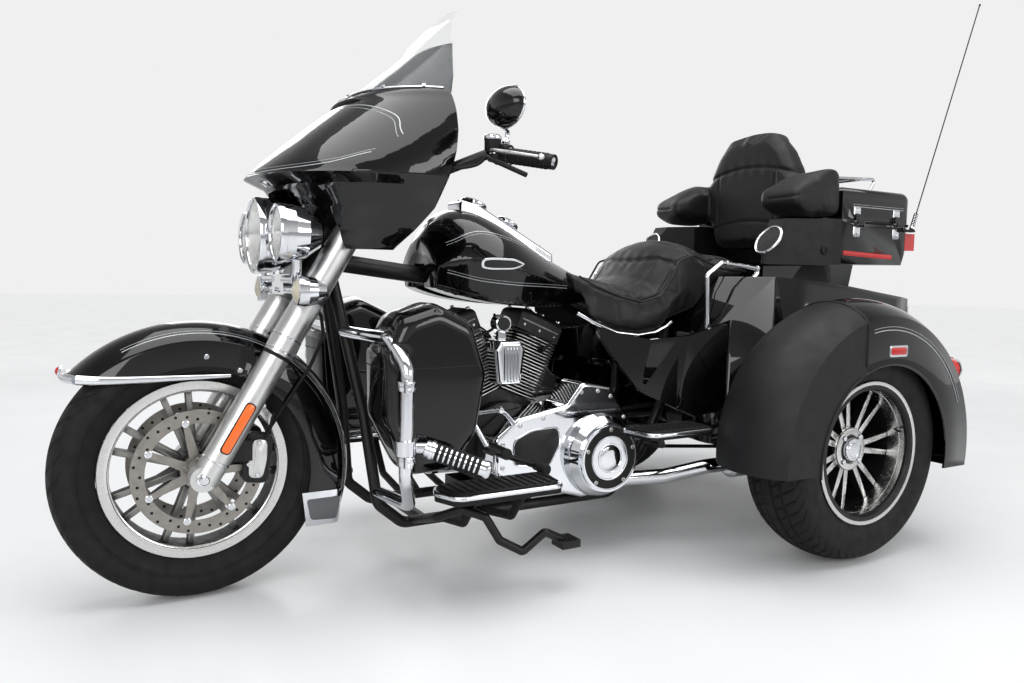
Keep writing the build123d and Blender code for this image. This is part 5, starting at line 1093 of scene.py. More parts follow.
class TRIKE_OT_primary_trim(bpy.types.Operator):
    """Adds the primary cover's screws, raised panel and rear flange, and the clutch cover's plain rings"""
    bl_idname = "trike.primary_trim"
    bl_label = "Add Primary Trim"

    def execute(self, context):
        rim_at = beside(214, (752, 280), (752, 344), (806, 392), (880, 408), (950, 420), (1006, 474),
                        (1064, 474), (1110, 456), (1160, 392), (1172, 300), (1130, 200), (940, 206),
                        (840, 236), (780, 254))
        turn = np.radians(np.arange(5) * 72 + 18)
        disc_at = circle_about(at(271.5, *CLUTCH), 0.0, 0.082, turn)
        turn = np.radians(np.arange(8) * 45 + 22)
        bulge_at = circle_about(at(237, *CLUTCH), 0.0, 0.108, turn)
        screws = [bolts(rim_at, LEFT, 6.5, 5), bolts(disc_at, LEFT, 6, 4), bolts(bulge_at, LEFT, 5.5, 5)]
        piece("primary_screws", screws, MACHINED, "chassis")
        centre = at(272, *CLUTCH)
        rings = [ring_lathe(((r, -1), (r + 1, 1.6), (r + w - 1, 1.6), (r + w, -1)), centre, LEFT, 96)
                 for r, w in ((90, 6), (58, 4), (40, 3))]
        dome = lathe(((0, 3.6), (22, 3.2), (34, 1.8), (38, 0), (38, -1), (0, -1)), centre, LEFT, 72)
        piece("clutch_cover_rings", rings + [dome], CHROME, "chassis")
        flat = ring_lathe(((63, -0.6), (64, 0.6), (88, 0.6), (89, -0.6)), centre, LEFT, 96)
        piece("clutch_cover_band", flat, "wrinkle_black_casting", "chassis")
        outline = round_corners(((786, 284), (786, 352), (842, 376), (930, 380), (936, 330), (900, 268)),
                                18, 5) - (860, 325)
        rim_line = np.column_stack((np.full(len(outline), 0.2162),
                                    outline / 1000)) + (0, 0.860 + FRONT_AXLE[1], 0.325)
        edge = loop_tube(rim_line, 2.6, LEFT, 8)
        panel = slab(outline * 0.96, 1.6, at(215.6, 860, 325), LEFT, 0.6)
        piece("primary_panel_edge", edge, CHROME, "chassis")
        piece("primary_panel", panel, "satin_powder_coat", "chassis")
        flange = round_corners(((1134, 176), (1186, 262), (1186, 392), (1118, 480), (1096, 480),
                                (1160, 388), (1160, 268), (1112, 184)), 10, 4) - (1140, 330)
        piece("primary_flange", [slab(flange, 34, at(150, 1146, 330), LEFT, 3)], "wrinkle_black_casting",
              "chassis")
        return {"FINISHED"}


def board_pad(outline, top, rows):
    """A footboard's rubber pad with cross ribs and its chrome rim: the rim follows the outline, and each rib
    is a low bar laid across."""
    outline = round_corners(outline, 24, 6)
    middle = outline.mean(0)
    rim_line = np.column_stack((middle + (outline - middle) * (0.985, 0.99),
                                np.full(len(outline), top - 5.0)))
    rim_shape = loop_tube(metres(rim_line), 6.5, UP, 10)
    pad = slab((outline - middle) * (0.9, 0.94), 5, at(middle[0], middle[1], top - 0.6), UP, 1.4, up=REAR)
    low, high = outline.min(0), outline.max(0)
    ribs = []
    for y in np.linspace(low[1] + 26, high[1] - 26, rows):
        left, right = low[0] + 18, high[0] - 18
        ribs.append(tube(spots((left, y, top + 5), ((left + right) / 2, y, top + 5.4), (right, y, top + 5)),
                         3.4, around=8, flat=0.8))
    return rim_shape, [pad] + ribs


class TRIKE_OT_boards(bpy.types.Operator):
    """Adds the ribbed rubber pads and chrome rims of the footboards, and the pedals' pads"""
    bl_idname = "trike.boards"
    bl_label = "Add Footboard Pads"

    def execute(self, context):
        rim_shape, pads = board_pad(((330, 504), (390, 474), (460, 500), (460, 790), (330, 812)), 290, 14)
        piece("rider_board_rims", pair(rim_shape), CHROME, "chassis")
        piece("rider_board_pads", pair(pads), RUBBER, "chassis")
        rim_shape, pads = board_pad(((352, 1048), (462, 1068), (462, 1286), (352, 1296)), 390, 11)
        for side, word in ((1, "left"), (-1, "right")):
            rim_one, pad_one = rim_shape, merged(pads)
            if side < 0:
                rim_one, pad_one = mirrored(rim_one), mirrored(pad_one)
            piece(f"passenger_board_rim_{word}", rim_one, CHROME, f"footboard_{word}")
            piece(f"passenger_board_pad_{word}", pad_one, RUBBER, f"footboard_{word}")
        peg = lathe(((0, -1), (13.5, -1), (14, 1), (14, 30), (12, 33), (0, 34)), at(330, 802, 302), LEFT, 30)
        ribs = [ring_lathe(((13.6, 0), (15, 1), (15, 3), (13.6, 4)), at(332 + k * 6, 802, 302), LEFT, 30)
                for k in range(5)]
        piece("shift_peg_rubber", [peg] + ribs, RUBBER, "chassis")
        rods = [tube(smooth_path(spots((322, 650, 366), (310, 622, 420), (304, 604, 452)), 20), 6.5),
                tube(smooth_path(spots((304, 604, 452), (284, 660, 451), (264, 716, 449)), 20), 5),
                tube(smooth_path(spots((264, 716, 449), (244, 744, 434), (212, 786, 400)), 20), 7)]
        joints = [lathe(((0, 9), (7, 8), (9.5, 4), (9.5, -4), (7, -8), (0, -9)), at(*p), LEFT, 24)
                  for p in ((304, 604, 452), (264, 716, 449), (312, 706, 344))]
        piece("shift_linkage", rods + joints, CHROME, "chassis")
        ribs = [tube(spots((378, y, 130.5), (403, y, 131), (428, y, 130.5)), 2.6, around=8)
                for y in range(818, 862, 8)]
        piece("parking_pedal_ribs", ribs, RUBBER, "chassis")
        return {"FINISHED"}


CLAMPS_AT = (545, 372)  # mm above the ground, on the engine guard


class TRIKE_OT_pod_trim(bpy.types.Operator):
    """Adds the lower fairings' seams, the guard's clamps and the highway pegs' rubbers"""
    bl_idname = "trike.pod_trim"
    bl_label = "Add Lower Fairing Trim"

    def execute(self, context):
        seam = strip_on("lower_fairings", beside(420, (392, 578), (450, 580), (540, 581), (600, 582)),
                        RIGHT, 3.0, 0.3, 50)
        front = strip_on("lower_fairings", spots((200, 300, 582), (260, 300, 581), (320, 300, 580),
                                                 (350, 300, 579)), REAR, 3.0, 0.3, 40)
        piece("pod_seams", [pair([seam, front])], NYLON, "chassis")
        clamps = [ring_lathe(((16.2, -11), (20.5, -11), (22, -8), (22, 8), (20.5, 11), (16.2, 11)),
                             at(392, 402, z), UP, 40) for z in CLAMPS_AT]
        ears = [slab(oblong(9, 14, 6), 16, at(406, 396, z), LEFT, 2) for z in CLAMPS_AT]
        screws = [bolts(spots((421, 396, z + 7), (421, 396, z - 7)), LEFT, 5, 4) for z in CLAMPS_AT]
        piece("guard_clamps", pair(clamps + ears + screws), CHROME, "chassis")
        start, end = at(398, 448, 399), at(476, 570, 351)
        way = unit(end - start)
        length = np.linalg.norm(end - start) * 1000
        rubber = [ring_lathe(((20.3, 0), (22.6, 1.6), (22.6, 7), (20.3, 8.6)),
                             start + way * (24 + k * 12.5) / 1000, way, 36)
                  for k in range(int((length - 34) / 12.5))]
        cap = [lathe(((0, 8), (10, 7.4), (18, 4.5), (21.5, 0), (21.5, -8), (0, -8)), end, way, 40),
               ring_lathe(((20.2, 0), (23, 1), (23, 9), (20.2, 10)), start + way * 0.010, way, 40)]
        piece("highway_peg_rubbers", pair(rubber), RUBBER, "chassis")
        piece("highway_peg_ends", pair(cap), CHROME, "chassis")
        return {"FINISHED"}


# Seat and backrest

def soften(node, name, finish_name, voxel, shrink, cap, creases, rounds=12):
    """A stuffed copy of a CAD solid: it is drawn in by mm, remeshed at a voxel size in mm, swelled by a cloth
    simulation under pressure, held to a cap in mm, smoothed in rounds, and creased along its seams."""
    made = bpy.data.objects.new(name, NODES[node].data.copy())
    bpy.context.collection.objects.link(made)
    form = bmesh.new()
    form.from_mesh(made.data)
    bmesh.ops.remove_doubles(form, verts=form.verts, dist=1e-5)
    bmesh.ops.recalc_face_normals(form, faces=form.faces)
    form.to_mesh(made.data)
    form.free()

    def bake():
        """The object's mesh with its modifiers applied."""
        depsgraph = bpy.context.evaluated_depsgraph_get()
        depsgraph.update()
        fresh = bpy.data.meshes.new_from_object(made.evaluated_get(depsgraph))
        made.modifiers.clear()
        made.data = fresh

    def read(kind, width):
        values = np.empty(len(made.data.vertices) * width)
        made.data.vertices.foreach_get(kind, values)
        return values.reshape(-1, width)

    remesh = made.modifiers.new("remesh", "REMESH")
    remesh.mode, remesh.voxel_size, remesh.use_smooth_shade = "VOXEL", voxel / 1000, True
    bake()
    relax = made.modifiers.new("relax", "SMOOTH")
    relax.factor, relax.iterations = 0.5, rounds
    bake()
    start = read("co", 3)
    drawn = start - read("normal", 3) * shrink / 1000
    made.data.vertices.foreach_set("co", drawn.ravel())
    made.data.update()
    cloth = made.modifiers.new("cloth", "CLOTH")
    cloth.settings.quality, cloth.settings.mass = 5, 0.3
    cloth.settings.tension_stiffness = cloth.settings.compression_stiffness = 20
    cloth.settings.bending_stiffness = 4
    cloth.settings.use_pressure, cloth.settings.uniform_pressure_force = True, 4
    cloth.settings.effector_weights.gravity = 0
    cloth.collision_settings.use_collision = False
    cloth.point_cache.frame_start, cloth.point_cache.frame_end = 1, 20
    for number in range(1, 21):
        bpy.context.scene.frame_set(number)
    bake()
    bpy.context.scene.frame_set(1)
    moved = read("co", 3) - start
    length = np.linalg.norm(moved, axis=1, keepdims=True)
    held = start + moved * np.minimum(1, cap / 1000 / np.maximum(length, 1e-9))
    made.data.vertices.foreach_set("co", held.ravel())
    made.data.update()
    finer = made.modifiers.new("finer", "SUBSURF")
    finer.levels = finer.render_levels = 1
    bake()
    points, normals = read("co", 3), read("normal", 3)
    local = points * 1000 - (0, FRONT_AXLE[1] * 1000, 0)
    points -= normals * creases(local, normals)[:, None] / 1000
    made.data.vertices.foreach_set("co", points.ravel())
    made.data.update()
    made.data.shade_smooth()
    made.data.materials.clear()
    made.data.materials.append(FINISHES[finish_name])
    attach(made, "chassis")
    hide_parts(node)
    return made


def dip(distance, width):
    """How deep a sewn line pulls: a bell of the distance to it."""
    return np.exp(-(distance / width) ** 2)


def within(value, low, high, soft=12.0):
    """1 between two values and 0 outside them, with soft ends."""
    return 1 / (1 + np.exp((low - value) / soft * 3)) / (1 + np.exp((value - high) / soft * 3))


BUCKET_FRONT, BUCKET_BACK = 1326, 1462  # mm, the two deep seams beside the rider's bucket
ROLL_HEIGHT = 1196  # mm, the backrest's deep seam under its hump


def seat_creases(p, n):
    """The seat's sewn lines in mm: the nose and bucket seams, the bolster's ends, and puckers beside them."""
    x, y = p[:, 0], p[:, 1]
    up = np.clip(n[:, 2] + 0.25, 0, 1)
    bow = y - 0.0009 * x ** 2
    across = ((1112, 3.5), (BUCKET_FRONT, 6), (1392, 3), (BUCKET_BACK, 7), (1570, 2.5))
    cross = sum(depth * dip(bow - at_y, 5) for at_y, depth in across)
    inner = 3.5 * dip(np.abs(x) - 122, 4.5) * (within(y, 1120, 1322) + within(y, 1474, 1650))
    middle = 2.0 * dip(x, 4.0) * within(y, 1470, 1650)
    pucker = 0.8 * np.sin(x / 7.5) * (dip(bow - BUCKET_FRONT, 22) + dip(bow - BUCKET_BACK, 22))
    pucker += 0.5 * np.sin(y / 8) * dip(np.abs(x) - 122, 18)
    welt = 3.0 * dip(p[:, 2] - seat_flank(y) + 4, 4) * (np.abs(n[:, 0]) > 0.3)
    return (cross + inner + middle + pucker) * up + welt


# mm: the distance behind the front axle, and there the half width, the lowest and the highest point
SEAT = np.array(((1026, 142, 704, 846), (1080, 170, 672, 812), (1150, 200, 640, 782), (1220, 214, 632, 766),
                 (1290, 216, 640, 786), (1330, 214, 656, 838), (1362, 210, 676, 892), (1420, 205, 700, 911),
                 (1480, 198, 720, 892), (1560, 190, 760, 872), (1680, 180, 790, 866)), float)


def seat_flank(y):
    """The height in mm where the seat's side meets its crowned top."""
    return np.interp(y, SEAT[:, 0], SEAT[:, 3]) - 34


def backrest_creases(p, n):
    """The backrest's sewn lines: under the hump, a level roll, two upright seams and one on each arm."""
    x, y, z = p.T
    front = np.clip(-n[:, 1] + 0.3, 0, 1)
    bow = z + 0.0008 * x ** 2
    pad = within(-np.abs(x), -205, 400)
    lines = 5 * dip(bow - ROLL_HEIGHT, 6) + 3.5 * dip(bow - 1010, 6)
    lines += 3 * dip(np.abs(x) - 132, 5) * within(z, 925, 1180)
    pucker = 0.8 * np.sin(x / 8) * dip(bow - ROLL_HEIGHT, 24)
    arms = 3.0 * dip(z - 1062 - (y - 1704) * 0.28, 4.5) * within(np.abs(x), 236, 420, 8)
    return (lines + pucker) * pad * front + arms


class TRIKE_OT_seat(bpy.types.Operator):
    """Adds the stuffed leather seat with its piping and lower chrome trim"""
    bl_idname = "trike.seat"
    bl_label = "Add Seat"

    def execute(self, context):
        soften("seat", "leather_seat", "grained_leather", voxel=7.0, shrink=2.0, cap=18,
               creases=seat_creases, rounds=20)
        y = np.linspace(1036, 1672, 80)
        half = np.interp(y, SEAT[:, 0], SEAT[:, 1])
        piping = metres(np.stack((half - 1.0, y, seat_flank(y) - 2), -1))
        piece("seat_piping", [pair(tube(piping, 3.4, around=10))], "grained_leather", "chassis")
        y = np.linspace(1040, 1352, 60)
        low = np.stack((np.interp(y, SEAT[:, 0], SEAT[:, 1]) * 0.9 + 3, y,
                        np.interp(y, SEAT[:, 0], SEAT[:, 2]) - 1), -1)
        piece("seat_trim", [pair(tube(metres(low), 3.2, around=10, flat=1.6))], CHROME, "chassis")
        return {"FINISHED"}


class TRIKE_OT_backrest(bpy.types.Operator):
    """Adds the stuffed leather backrest and its arms, and the speakers' rings and grilles beside it"""
    bl_idname = "trike.backrest"
    bl_label = "Add Backrest"

    def execute(self, context):
        soften("backrest", "leather_backrest", "grained_leather", voxel=6.5, shrink=-3.0, cap=16,
               creases=backrest_creases, rounds=46)
        angle = turns(64)
        oval = np.stack((44 * np.cos(angle), 50 * np.sin(angle)), -1)
        way = unit(np.array((0.62, -0.78, 0.12)))
        hits, normals = cast("speaker_pods", np.array((at(300, 1640, 930) + way * 0.12,)), -way)
        way, spot = normals[0], hits[0]
        axes = axes_towards(way)
        ring = loop_tube(spot + way * 0.002 + (oval @ axes[:2]) / 1000, 4.6, way, 12)
        levels = [spot + way * (0.001 + 0.006 * (1 - t ** 2)) + (oval * t * 0.96 @ axes[:2]) / 1000
                  for t in (1, 0.9, 0.7, 0.4, 0.1)]
        grille = rings_shape(np.array([spot - way * 0.002 + (oval * 0.96 @ axes[:2]) / 1000] + levels))
        piece("speaker_rings", pair(ring), CHROME, "chassis")
        piece("speaker_grilles", pair(grille), "speaker_cloth", "chassis")
        jack = cast("speaker_pods", spots((420, 1850, 900)), RIGHT)
        socket = [ring_lathe(((9, -1), (14, -1), (14.5, 1.5), (12, 3.4), (9, 3)), jack[0][0], LEFT, 36),
                  lathe(((0, -1), (9.2, -1), (9.2, 1.6), (0, 1.8)), jack[0][0], LEFT, 30)]
        piece("pod_sockets", pair(socket), RUBBER, "chassis")
        return {"FINISHED"}


# Painted panels, smoothed from the solids

def welded(node, grid=0.0):
    """A form made from a CAD node's triangles with their shared corners joined, cut by level planes a grid
    step in mm apart where a step is given, so that it can bend between them."""
    form = bmesh.new()
    form.from_mesh(NODES[node].data)
    bmesh.ops.remove_doubles(form, verts=form.verts, dist=2e-5)
    if grid:
        low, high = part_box(node)[0][2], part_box(node)[1][2]
        for level in np.arange(low + grid / 1000, high, grid / 1000):
            bmesh.ops.bisect_plane(form, geom=form.verts[:] + form.edges[:] + form.faces[:],
                                   plane_co=(0, 0, level), plane_no=UP, dist=1e-6)
    return form


def panel(node, name, finish_name, body, form=None, sharp=32, move=None, second=None):
    """A smooth-shaded copy of a CAD node's form that stands for the node. move changes its points as one
    array, and second names another finish with a test of the faces' centres that says which take it."""
    form = form or welded(node)
    mesh = bpy.data.meshes.new(name)
    form.to_mesh(mesh)
    form.free()
    if move:
        points = np.empty(len(mesh.vertices) * 3)
        mesh.vertices.foreach_get("co", points)
        mesh.vertices.foreach_set("co", move(points.reshape(-1, 3)).ravel())
        mesh.update()
    mesh.materials.clear()
    mesh.materials.append(FINISHES[finish_name])
    index = np.zeros(len(mesh.polygons), np.int32)
    if second:
        centres = np.empty(len(mesh.polygons) * 3)
        mesh.polygons.foreach_get("center", centres)
        mesh.materials.append(FINISHES[second[0]])
        index[second[1](centres.reshape(-1, 3))] = 1
    mesh.polygons.foreach_set("material_index", index)
    mesh.shade_smooth()
    mesh.set_sharp_from_angle(angle=math.radians(sharp))
    made = bpy.data.objects.new(name, mesh)
    bpy.context.collection.objects.link(made)
    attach(made, body)
    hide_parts(node)
    return made


# mm: the height, and there the half width, the front and the rear behind the front axle
FAIRING = ((858, 204, 216, 438), (905, 240, 228, 480), (960, 274, 215, 520), (1010, 290, 178, 538),
           (1032, 296, 130, 546), (1060, 300, 156, 555), (1100, 302, 200, 564), (1150, 298, 258, 570),
           (1200, 287, 320, 569), (1232, 272, 362, 566), (1252, 258, 383, 562))


def eased(heights, values, z, span=22.0):
    """A broken line of values over heights, averaged by five samples over a span in mm each side."""
    steps = np.linspace(-span, span, 5)
    weights = np.array((0.1, 0.25, 0.3, 0.25, 0.1))
    return sum(w * np.interp(z + s, heights, values) for w, s in zip(weights, steps))


def rounded_fairing(points):
    """The fairing's points moved so that its half width and front follow eased lines over height instead of
    broken ones: each level is stretched sideways and lengthwise by the ratio of the two."""
    table = np.array(FAIRING, float)
    z = points[:, 2] * 1000
    rise = z < 1249
    moved = points * 1000 - (0, FRONT_AXLE[1] * 1000, 0)
    half, soft_half = np.interp(z, table[:, 0], table[:, 1]), eased(table[:, 0], table[:, 1], z)
    front, rear = np.interp(z, table[:, 0], table[:, 2]), np.interp(z, table[:, 0], table[:, 3])
    upper = table[4:]
    soft_front = np.where(z > 1032, np.minimum(eased(upper[:, 0], upper[:, 2], z), front + 6), front)
    moved[:, 0] *= np.where(rise, soft_half / half, 1)
    moved[:, 1] = np.where(rise, rear - (rear - moved[:, 1]) * (rear - soft_front) / (rear - front),
                           moved[:, 1])
    return (moved + (0, FRONT_AXLE[1] * 1000, 0)) / 1000


def in_mirror_shell(centres):
    """Which points lie on the mirrors' oval shells: inside an ellipsoid slightly larger than they are."""
    local = centres * 1000 - (0, FRONT_AXLE[1] * 1000, 0)
    offset = np.stack((np.abs(local[:, 0]), local[:, 1], local[:, 2]), -1) - MIRROR
    offset = offset / (75, 44, 46)
    return np.linalg.norm(offset, axis=1) < 1.02


PANELS = (
    ("front_fender", "front_fender_shell", ENAMEL, "fork", 30),
    ("fuel_tank", "fuel_tank_shell", ENAMEL, "chassis", 38),
    ("side_panels", "side_panel_shells", ENAMEL, "chassis", 30),
    ("rear_body", "rear_body_shell", ENAMEL, "chassis", 30),
    ("rear_fenders", "rear_fender_shells", ENAMEL, "chassis", 30),
    ("fender_covers", "fender_cover_skins", "grained_vinyl", "chassis", 30),
    ("case_base", "case_base_shell", "gloss_black_abs", "chassis", 30),
    ("case_lid", "case_lid_shell", "gloss_black_abs", "lid", 30),
)


class TRIKE_OT_panels(bpy.types.Operator):
    """Adds the painted panels as smooth forms over their solids"""
    bl_idname = "trike.panels"
    bl_label = "Add Painted Panels"

    def execute(self, context):
        panel("fairing", "fairing_shell", ENAMEL, "fork", form=welded("fairing", grid=9), sharp=38,
              move=rounded_fairing)
        for node, name, finish_name, body, sharp in PANELS:
            panel(node, name, finish_name, body, sharp=sharp)
        panel("mirrors", "mirror_shells", CHROME, "fork", sharp=35, second=(ENAMEL, in_mirror_shell))
        pods = panel("lower_fairings", "pod_shells", ENAMEL, "chassis", sharp=180)
        remesh = pods.modifiers.new("remesh", "REMESH")
        remesh.mode, remesh.voxel_size, remesh.use_smooth_shade = "VOXEL", 0.0055, True
        smooth = pods.modifiers.new("smooth", "SMOOTH")
        smooth.factor, smooth.iterations = 0.5, 18
        return {"FINISHED"}


# Top case, tail and rear fenders

HINGES_AT = (2010, 2215)  # mm behind the front axle, the case's two hinges
TAIL_FACE = 2338.0  # mm behind the front axle, the tail's rear face
REAR_ARCH = (1710, 302)  # mm, the middle of the rear fenders' wheel arches
COVER_SEAM = 1599.0  # mm, where the fender covers end

class TRIKE_OT_case_trim(bpy.types.Operator):
    """Adds the case's seam, hinge plates, latches, pinstripes, reflectors, rack feet and antenna details"""
    bl_idname = "trike.case_trim"
    bl_label = "Add Case Trim"

    def execute(self, context):
        plan = round_corners(((-332, 1931), (332, 1931), (332, 2310), (-332, 2310)), 47, 8)
        lips = []
        for z, out, radius in ((1000.5, 0.6, 2.6), (996, 0.2, 1.6)):
            line = metres(np.column_stack((plan + unit(plan - plan.mean(0)) * out, np.full(len(plan), z))))
            lips.append(loop_tube(line, radius, UP, 8))
        piece("case_seam_bead", lips, RUBBER, "chassis")
        hinges, pins = [], []
        for y in HINGES_AT:
            plate = oblong(17, 22, 6)
            hinges.append(slab(plate, 4, at(330.6, y, 972), LEFT, 1.2))
            pins.append(bolts(spots((334.4, y - 8, 962), (334.4, y + 8, 962)), LEFT, 3.6, 2.4))
        piece("case_hinge_plates", hinges + pins, CHROME, "chassis")
        lids = [slab(oblong(17, 15, 6), 4, at(330.6, y, 1034), LEFT, 1.2)
                for y in HINGES_AT]
        lids += [bolts(spots((334.4, y - 8, 1036), (334.4, y + 8, 1036)), LEFT, 3.6, 2.4) for y in HINGES_AT]
        piece("lid_hinge_plates", lids, CHROME, "lid")
        latch = [slab(oblong(18, 26, 7), 5, at(-331, y, 985), RIGHT, 1.6)
                 for y in (2030, 2200)]
        piece("case_latches", latch, CHROME, "chassis")
        strips = []
        for k, (z, radius) in enumerate(((1049, 1.3), (1056, 1.3))):
            line = beside(500, (1990, z), (2080, z), (2180, z), (2255, z))
            strips.append(strip_on("case_lid", line, RIGHT, 2.2 - k, 0.4, 40))
        piece("lid_pinstripes", pair(strips), PINSTRIPE, "lid")
        red = strip_on("case_base", beside(500, (1950, 896), (2040, 893), (2130, 890), (2200, 888)), RIGHT,
                       15, 2.2, 50)
        piece("case_side_reflectors", pair(red), "red_acrylic", "chassis")
        feet = [lathe(((0, -1), (13, -1), (13, 1.5), (10, 4), (7.5, 6), (0, 6)), at(x, y, 1112), UP, 30)
                for x in (-200, 200) for y in (1990, 2250)]
        piece("rack_feet", feet, CHROME, "lid")
        base, tip = at(341, 2290, 985), at(341, 2614, 1804)
        way = unit(tip - base)
        coil = [ring_lathe(((5.6, 0), (7.8, 1.2), (7.8, 2.8), (5.6, 4)), base + way * (0.016 + k * 0.006),
                           way, 24) for k in range(7)]
        foot = lathe(((0, 4), (8.2, 4), (8.6, 8), (7.8, 12), (7.2, 13), (0, 13)), base, way, 32)
        piece("antenna_foot", coil + [foot], CHROME, "chassis")
        tip_ball = lathe(((0, 4), (2.6, 3), (3.8, 0), (2.6, -3), (0, -4)), tip - way * 0.005, way, 20)
        piece("antenna_tip", tip_ball, RUBBER, "chassis")
        return {"FINISHED"}


class TRIKE_OT_tail_trim(bpy.types.Operator):
    """Adds the tail's deck pinstripes, door seal and latch, plate bracket and the rails' collars"""
    bl_idname = "trike.tail_trim"
    bl_label = "Add Tail Trim"

    def execute(self, context):
        seals, latch = [], []
        outline = round_corners(((-254, 330), (254, 330), (254, 624), (-254, 624)), 14, 5)
        line = metres(np.column_stack((outline[:, 0], np.full(len(outline), TAIL_FACE), outline[:, 1])))
        seals.append(loop_tube(line, 2.6, REAR, 8))
        piece("door_seal", seals, RUBBER, "chassis")
        latch.append(slab(oblong(46, 15, 12), 6, at(0, TAIL_FACE, 588), REAR, 2))
        latch.append(lathe(((0, 5), (9, 5), (9.6, 7), (8, 9), (0, 9.4)), at(0, TAIL_FACE, 588), REAR, 30))
        piece("door_latch", latch, CHROME, "door")
        plate = slab(oblong(92, 58, 8), 3, at(0, 2338.5, 470), REAR, 1)
        piece("plate_bracket", plate, NYLON, "door")
        screws = bolts(spots((-70, 2341.5, 512), (70, 2341.5, 512)), REAR, 5, 3)
        piece("plate_screws", screws, CHROME, "door")
        deck = [strip_on("rear_body", spots((x, 1690, 900), (x + 4, 1800, 900), (x, 1930, 900),
                                            (x - 6, 2050, 900), (x - 26, 2160, 900)), DOWN, w, 0.5, 70)
                for x, w in ((376, 2.6), (368, 1.3))]
        piece("deck_pinstripes", pair(deck), PINSTRIPE, "chassis")
        grip = [ring_lathe(((7.1, 0), (8.6, 1), (8.6, 5), (7.1, 6)),
                           at(285, y, 852 - (y - 1462) * 16 / 166), (0, 1, -0.096), 28)
                for y in (1480, 1610)]
        piece("rail_collars", pair(grip), CHROME, "chassis")
        return {"FINISHED"}


class TRIKE_OT_rear_fender_trim(bpy.types.Operator):
    """Adds the rear fenders' lips, pinstripes, covers' piping, side markers and tail lamps"""
    bl_idname = "trike.rear_fender_trim"
    bl_label = "Add Rear Fender Trim"

    def execute(self, context):
        lip = arc(692.6, *REAR_ARCH, 272.5, np.linspace(176, 8, 80))
        piece("arch_lips", pair(tube(lip, 4.2, up=LEFT, around=10)), ENAMEL, "chassis")
        lines = []
        for radius, width in ((352, 2.6), (361, 1.3)):
            path = arc(760, 1700, 318, radius, np.linspace(102, 22, 30))
            lines.append(strip_on("rear_fenders", path, RIGHT, width, 0.5, 90))
        piece("rear_pinstripes", pair(lines), PINSTRIPE, "chassis")
        path = metres(np.stack((np.full(26, 760.0), np.full(26, COVER_SEAM), np.linspace(360, 712, 26)), -1))
        keep = (path[:, 2] * 1000 - REAR_ARCH[1]) ** 2 + (COVER_SEAM - REAR_ARCH[0]) ** 2 > 280 ** 2
        hits, normals = cast("rear_fenders", path[keep], RIGHT)
        over = metres(np.stack((np.linspace(640, 470, 16), np.full(16, COVER_SEAM), np.full(16, 900.0)), -1))
        top, top_normals = cast("rear_fenders", over, DOWN)
        seam = np.vstack((hits + normals * 0.0022, top + top_normals * 0.0022))
        front_edge = arc(698, *REAR_ARCH, 274, np.linspace(184, 118, 40))
        piping = [tube(smooth_path(seam, 90), 3.6, up=(0.3, 1, 0), around=10),
                  tube(front_edge, 3.4, up=LEFT, around=10)]
        piece("cover_piping", pair(piping), "grained_vinyl", "chassis")
        frame_outline = oblong(40, 16, 9)
        hits, normals = cast("rear_fenders", spots((760, 1735, 611)), RIGHT)
        piece("marker_frames",
              [pair(slab(frame_outline, 2.4, hits[0] - normals[0] * 0.0012, normals[0], 1))], CHROME,
              "chassis")
        lens = slab(oblong(34, 11, 7), 6, hits[0] - normals[0] * 0.0046, normals[0], 1.2)
        piece("marker_lenses", pair(lens), "red_acrylic", "chassis")
        centre = at(628, 2092, 540)
        ring = ring_lathe(((31, -1), (33, 2), (37, 1), (37.4, -5), (35, -6), (34.6, -2)), centre, REAR, 48)
        dome = [(31.5 * t, 9 * (1 - t ** 2)) for t in np.linspace(0, 1, 9)]
        lens = lathe(dome + [(31.5, -2), (0, -2)], centre, REAR, 44)
        piece("tail_lamp_rings", pair(ring), CHROME, "chassis")
        piece("tail_lamp_lenses", pair(lens), "red_acrylic", "chassis")
        return {"FINISHED"}


# Stage

SENSOR = 36.0  # mm
PICTURE_WIDTH, FOCAL_PIXELS = 1024, 789.8  # the photograph's width and its focal length, in pixels
CAMERA_TURN = (29.72, -4.5, 0.97)  # degrees: yaw from the trike's side, pitch and roll
CAMERA_AT = (2.0565, -1.4233, 0.7911)  # metres


def light(name, spot, aim, size, power, tint="#FFFFFF"):
    """A soft rectangular lamp that looks from a spot at a point."""
    lamp = bpy.data.lights.new(name, "AREA")
    lamp.shape, lamp.energy, lamp.color = "RECTANGLE", power, linear(tint)[:3]
    lamp.size, lamp.size_y = size
    made = bpy.data.objects.new(name, lamp)
    bpy.context.collection.objects.link(made)
    made.location = spot
    made.rotation_euler = (Vector(aim) - Vector(spot)).to_track_quat("-Z", "Y").to_euler()
    return made


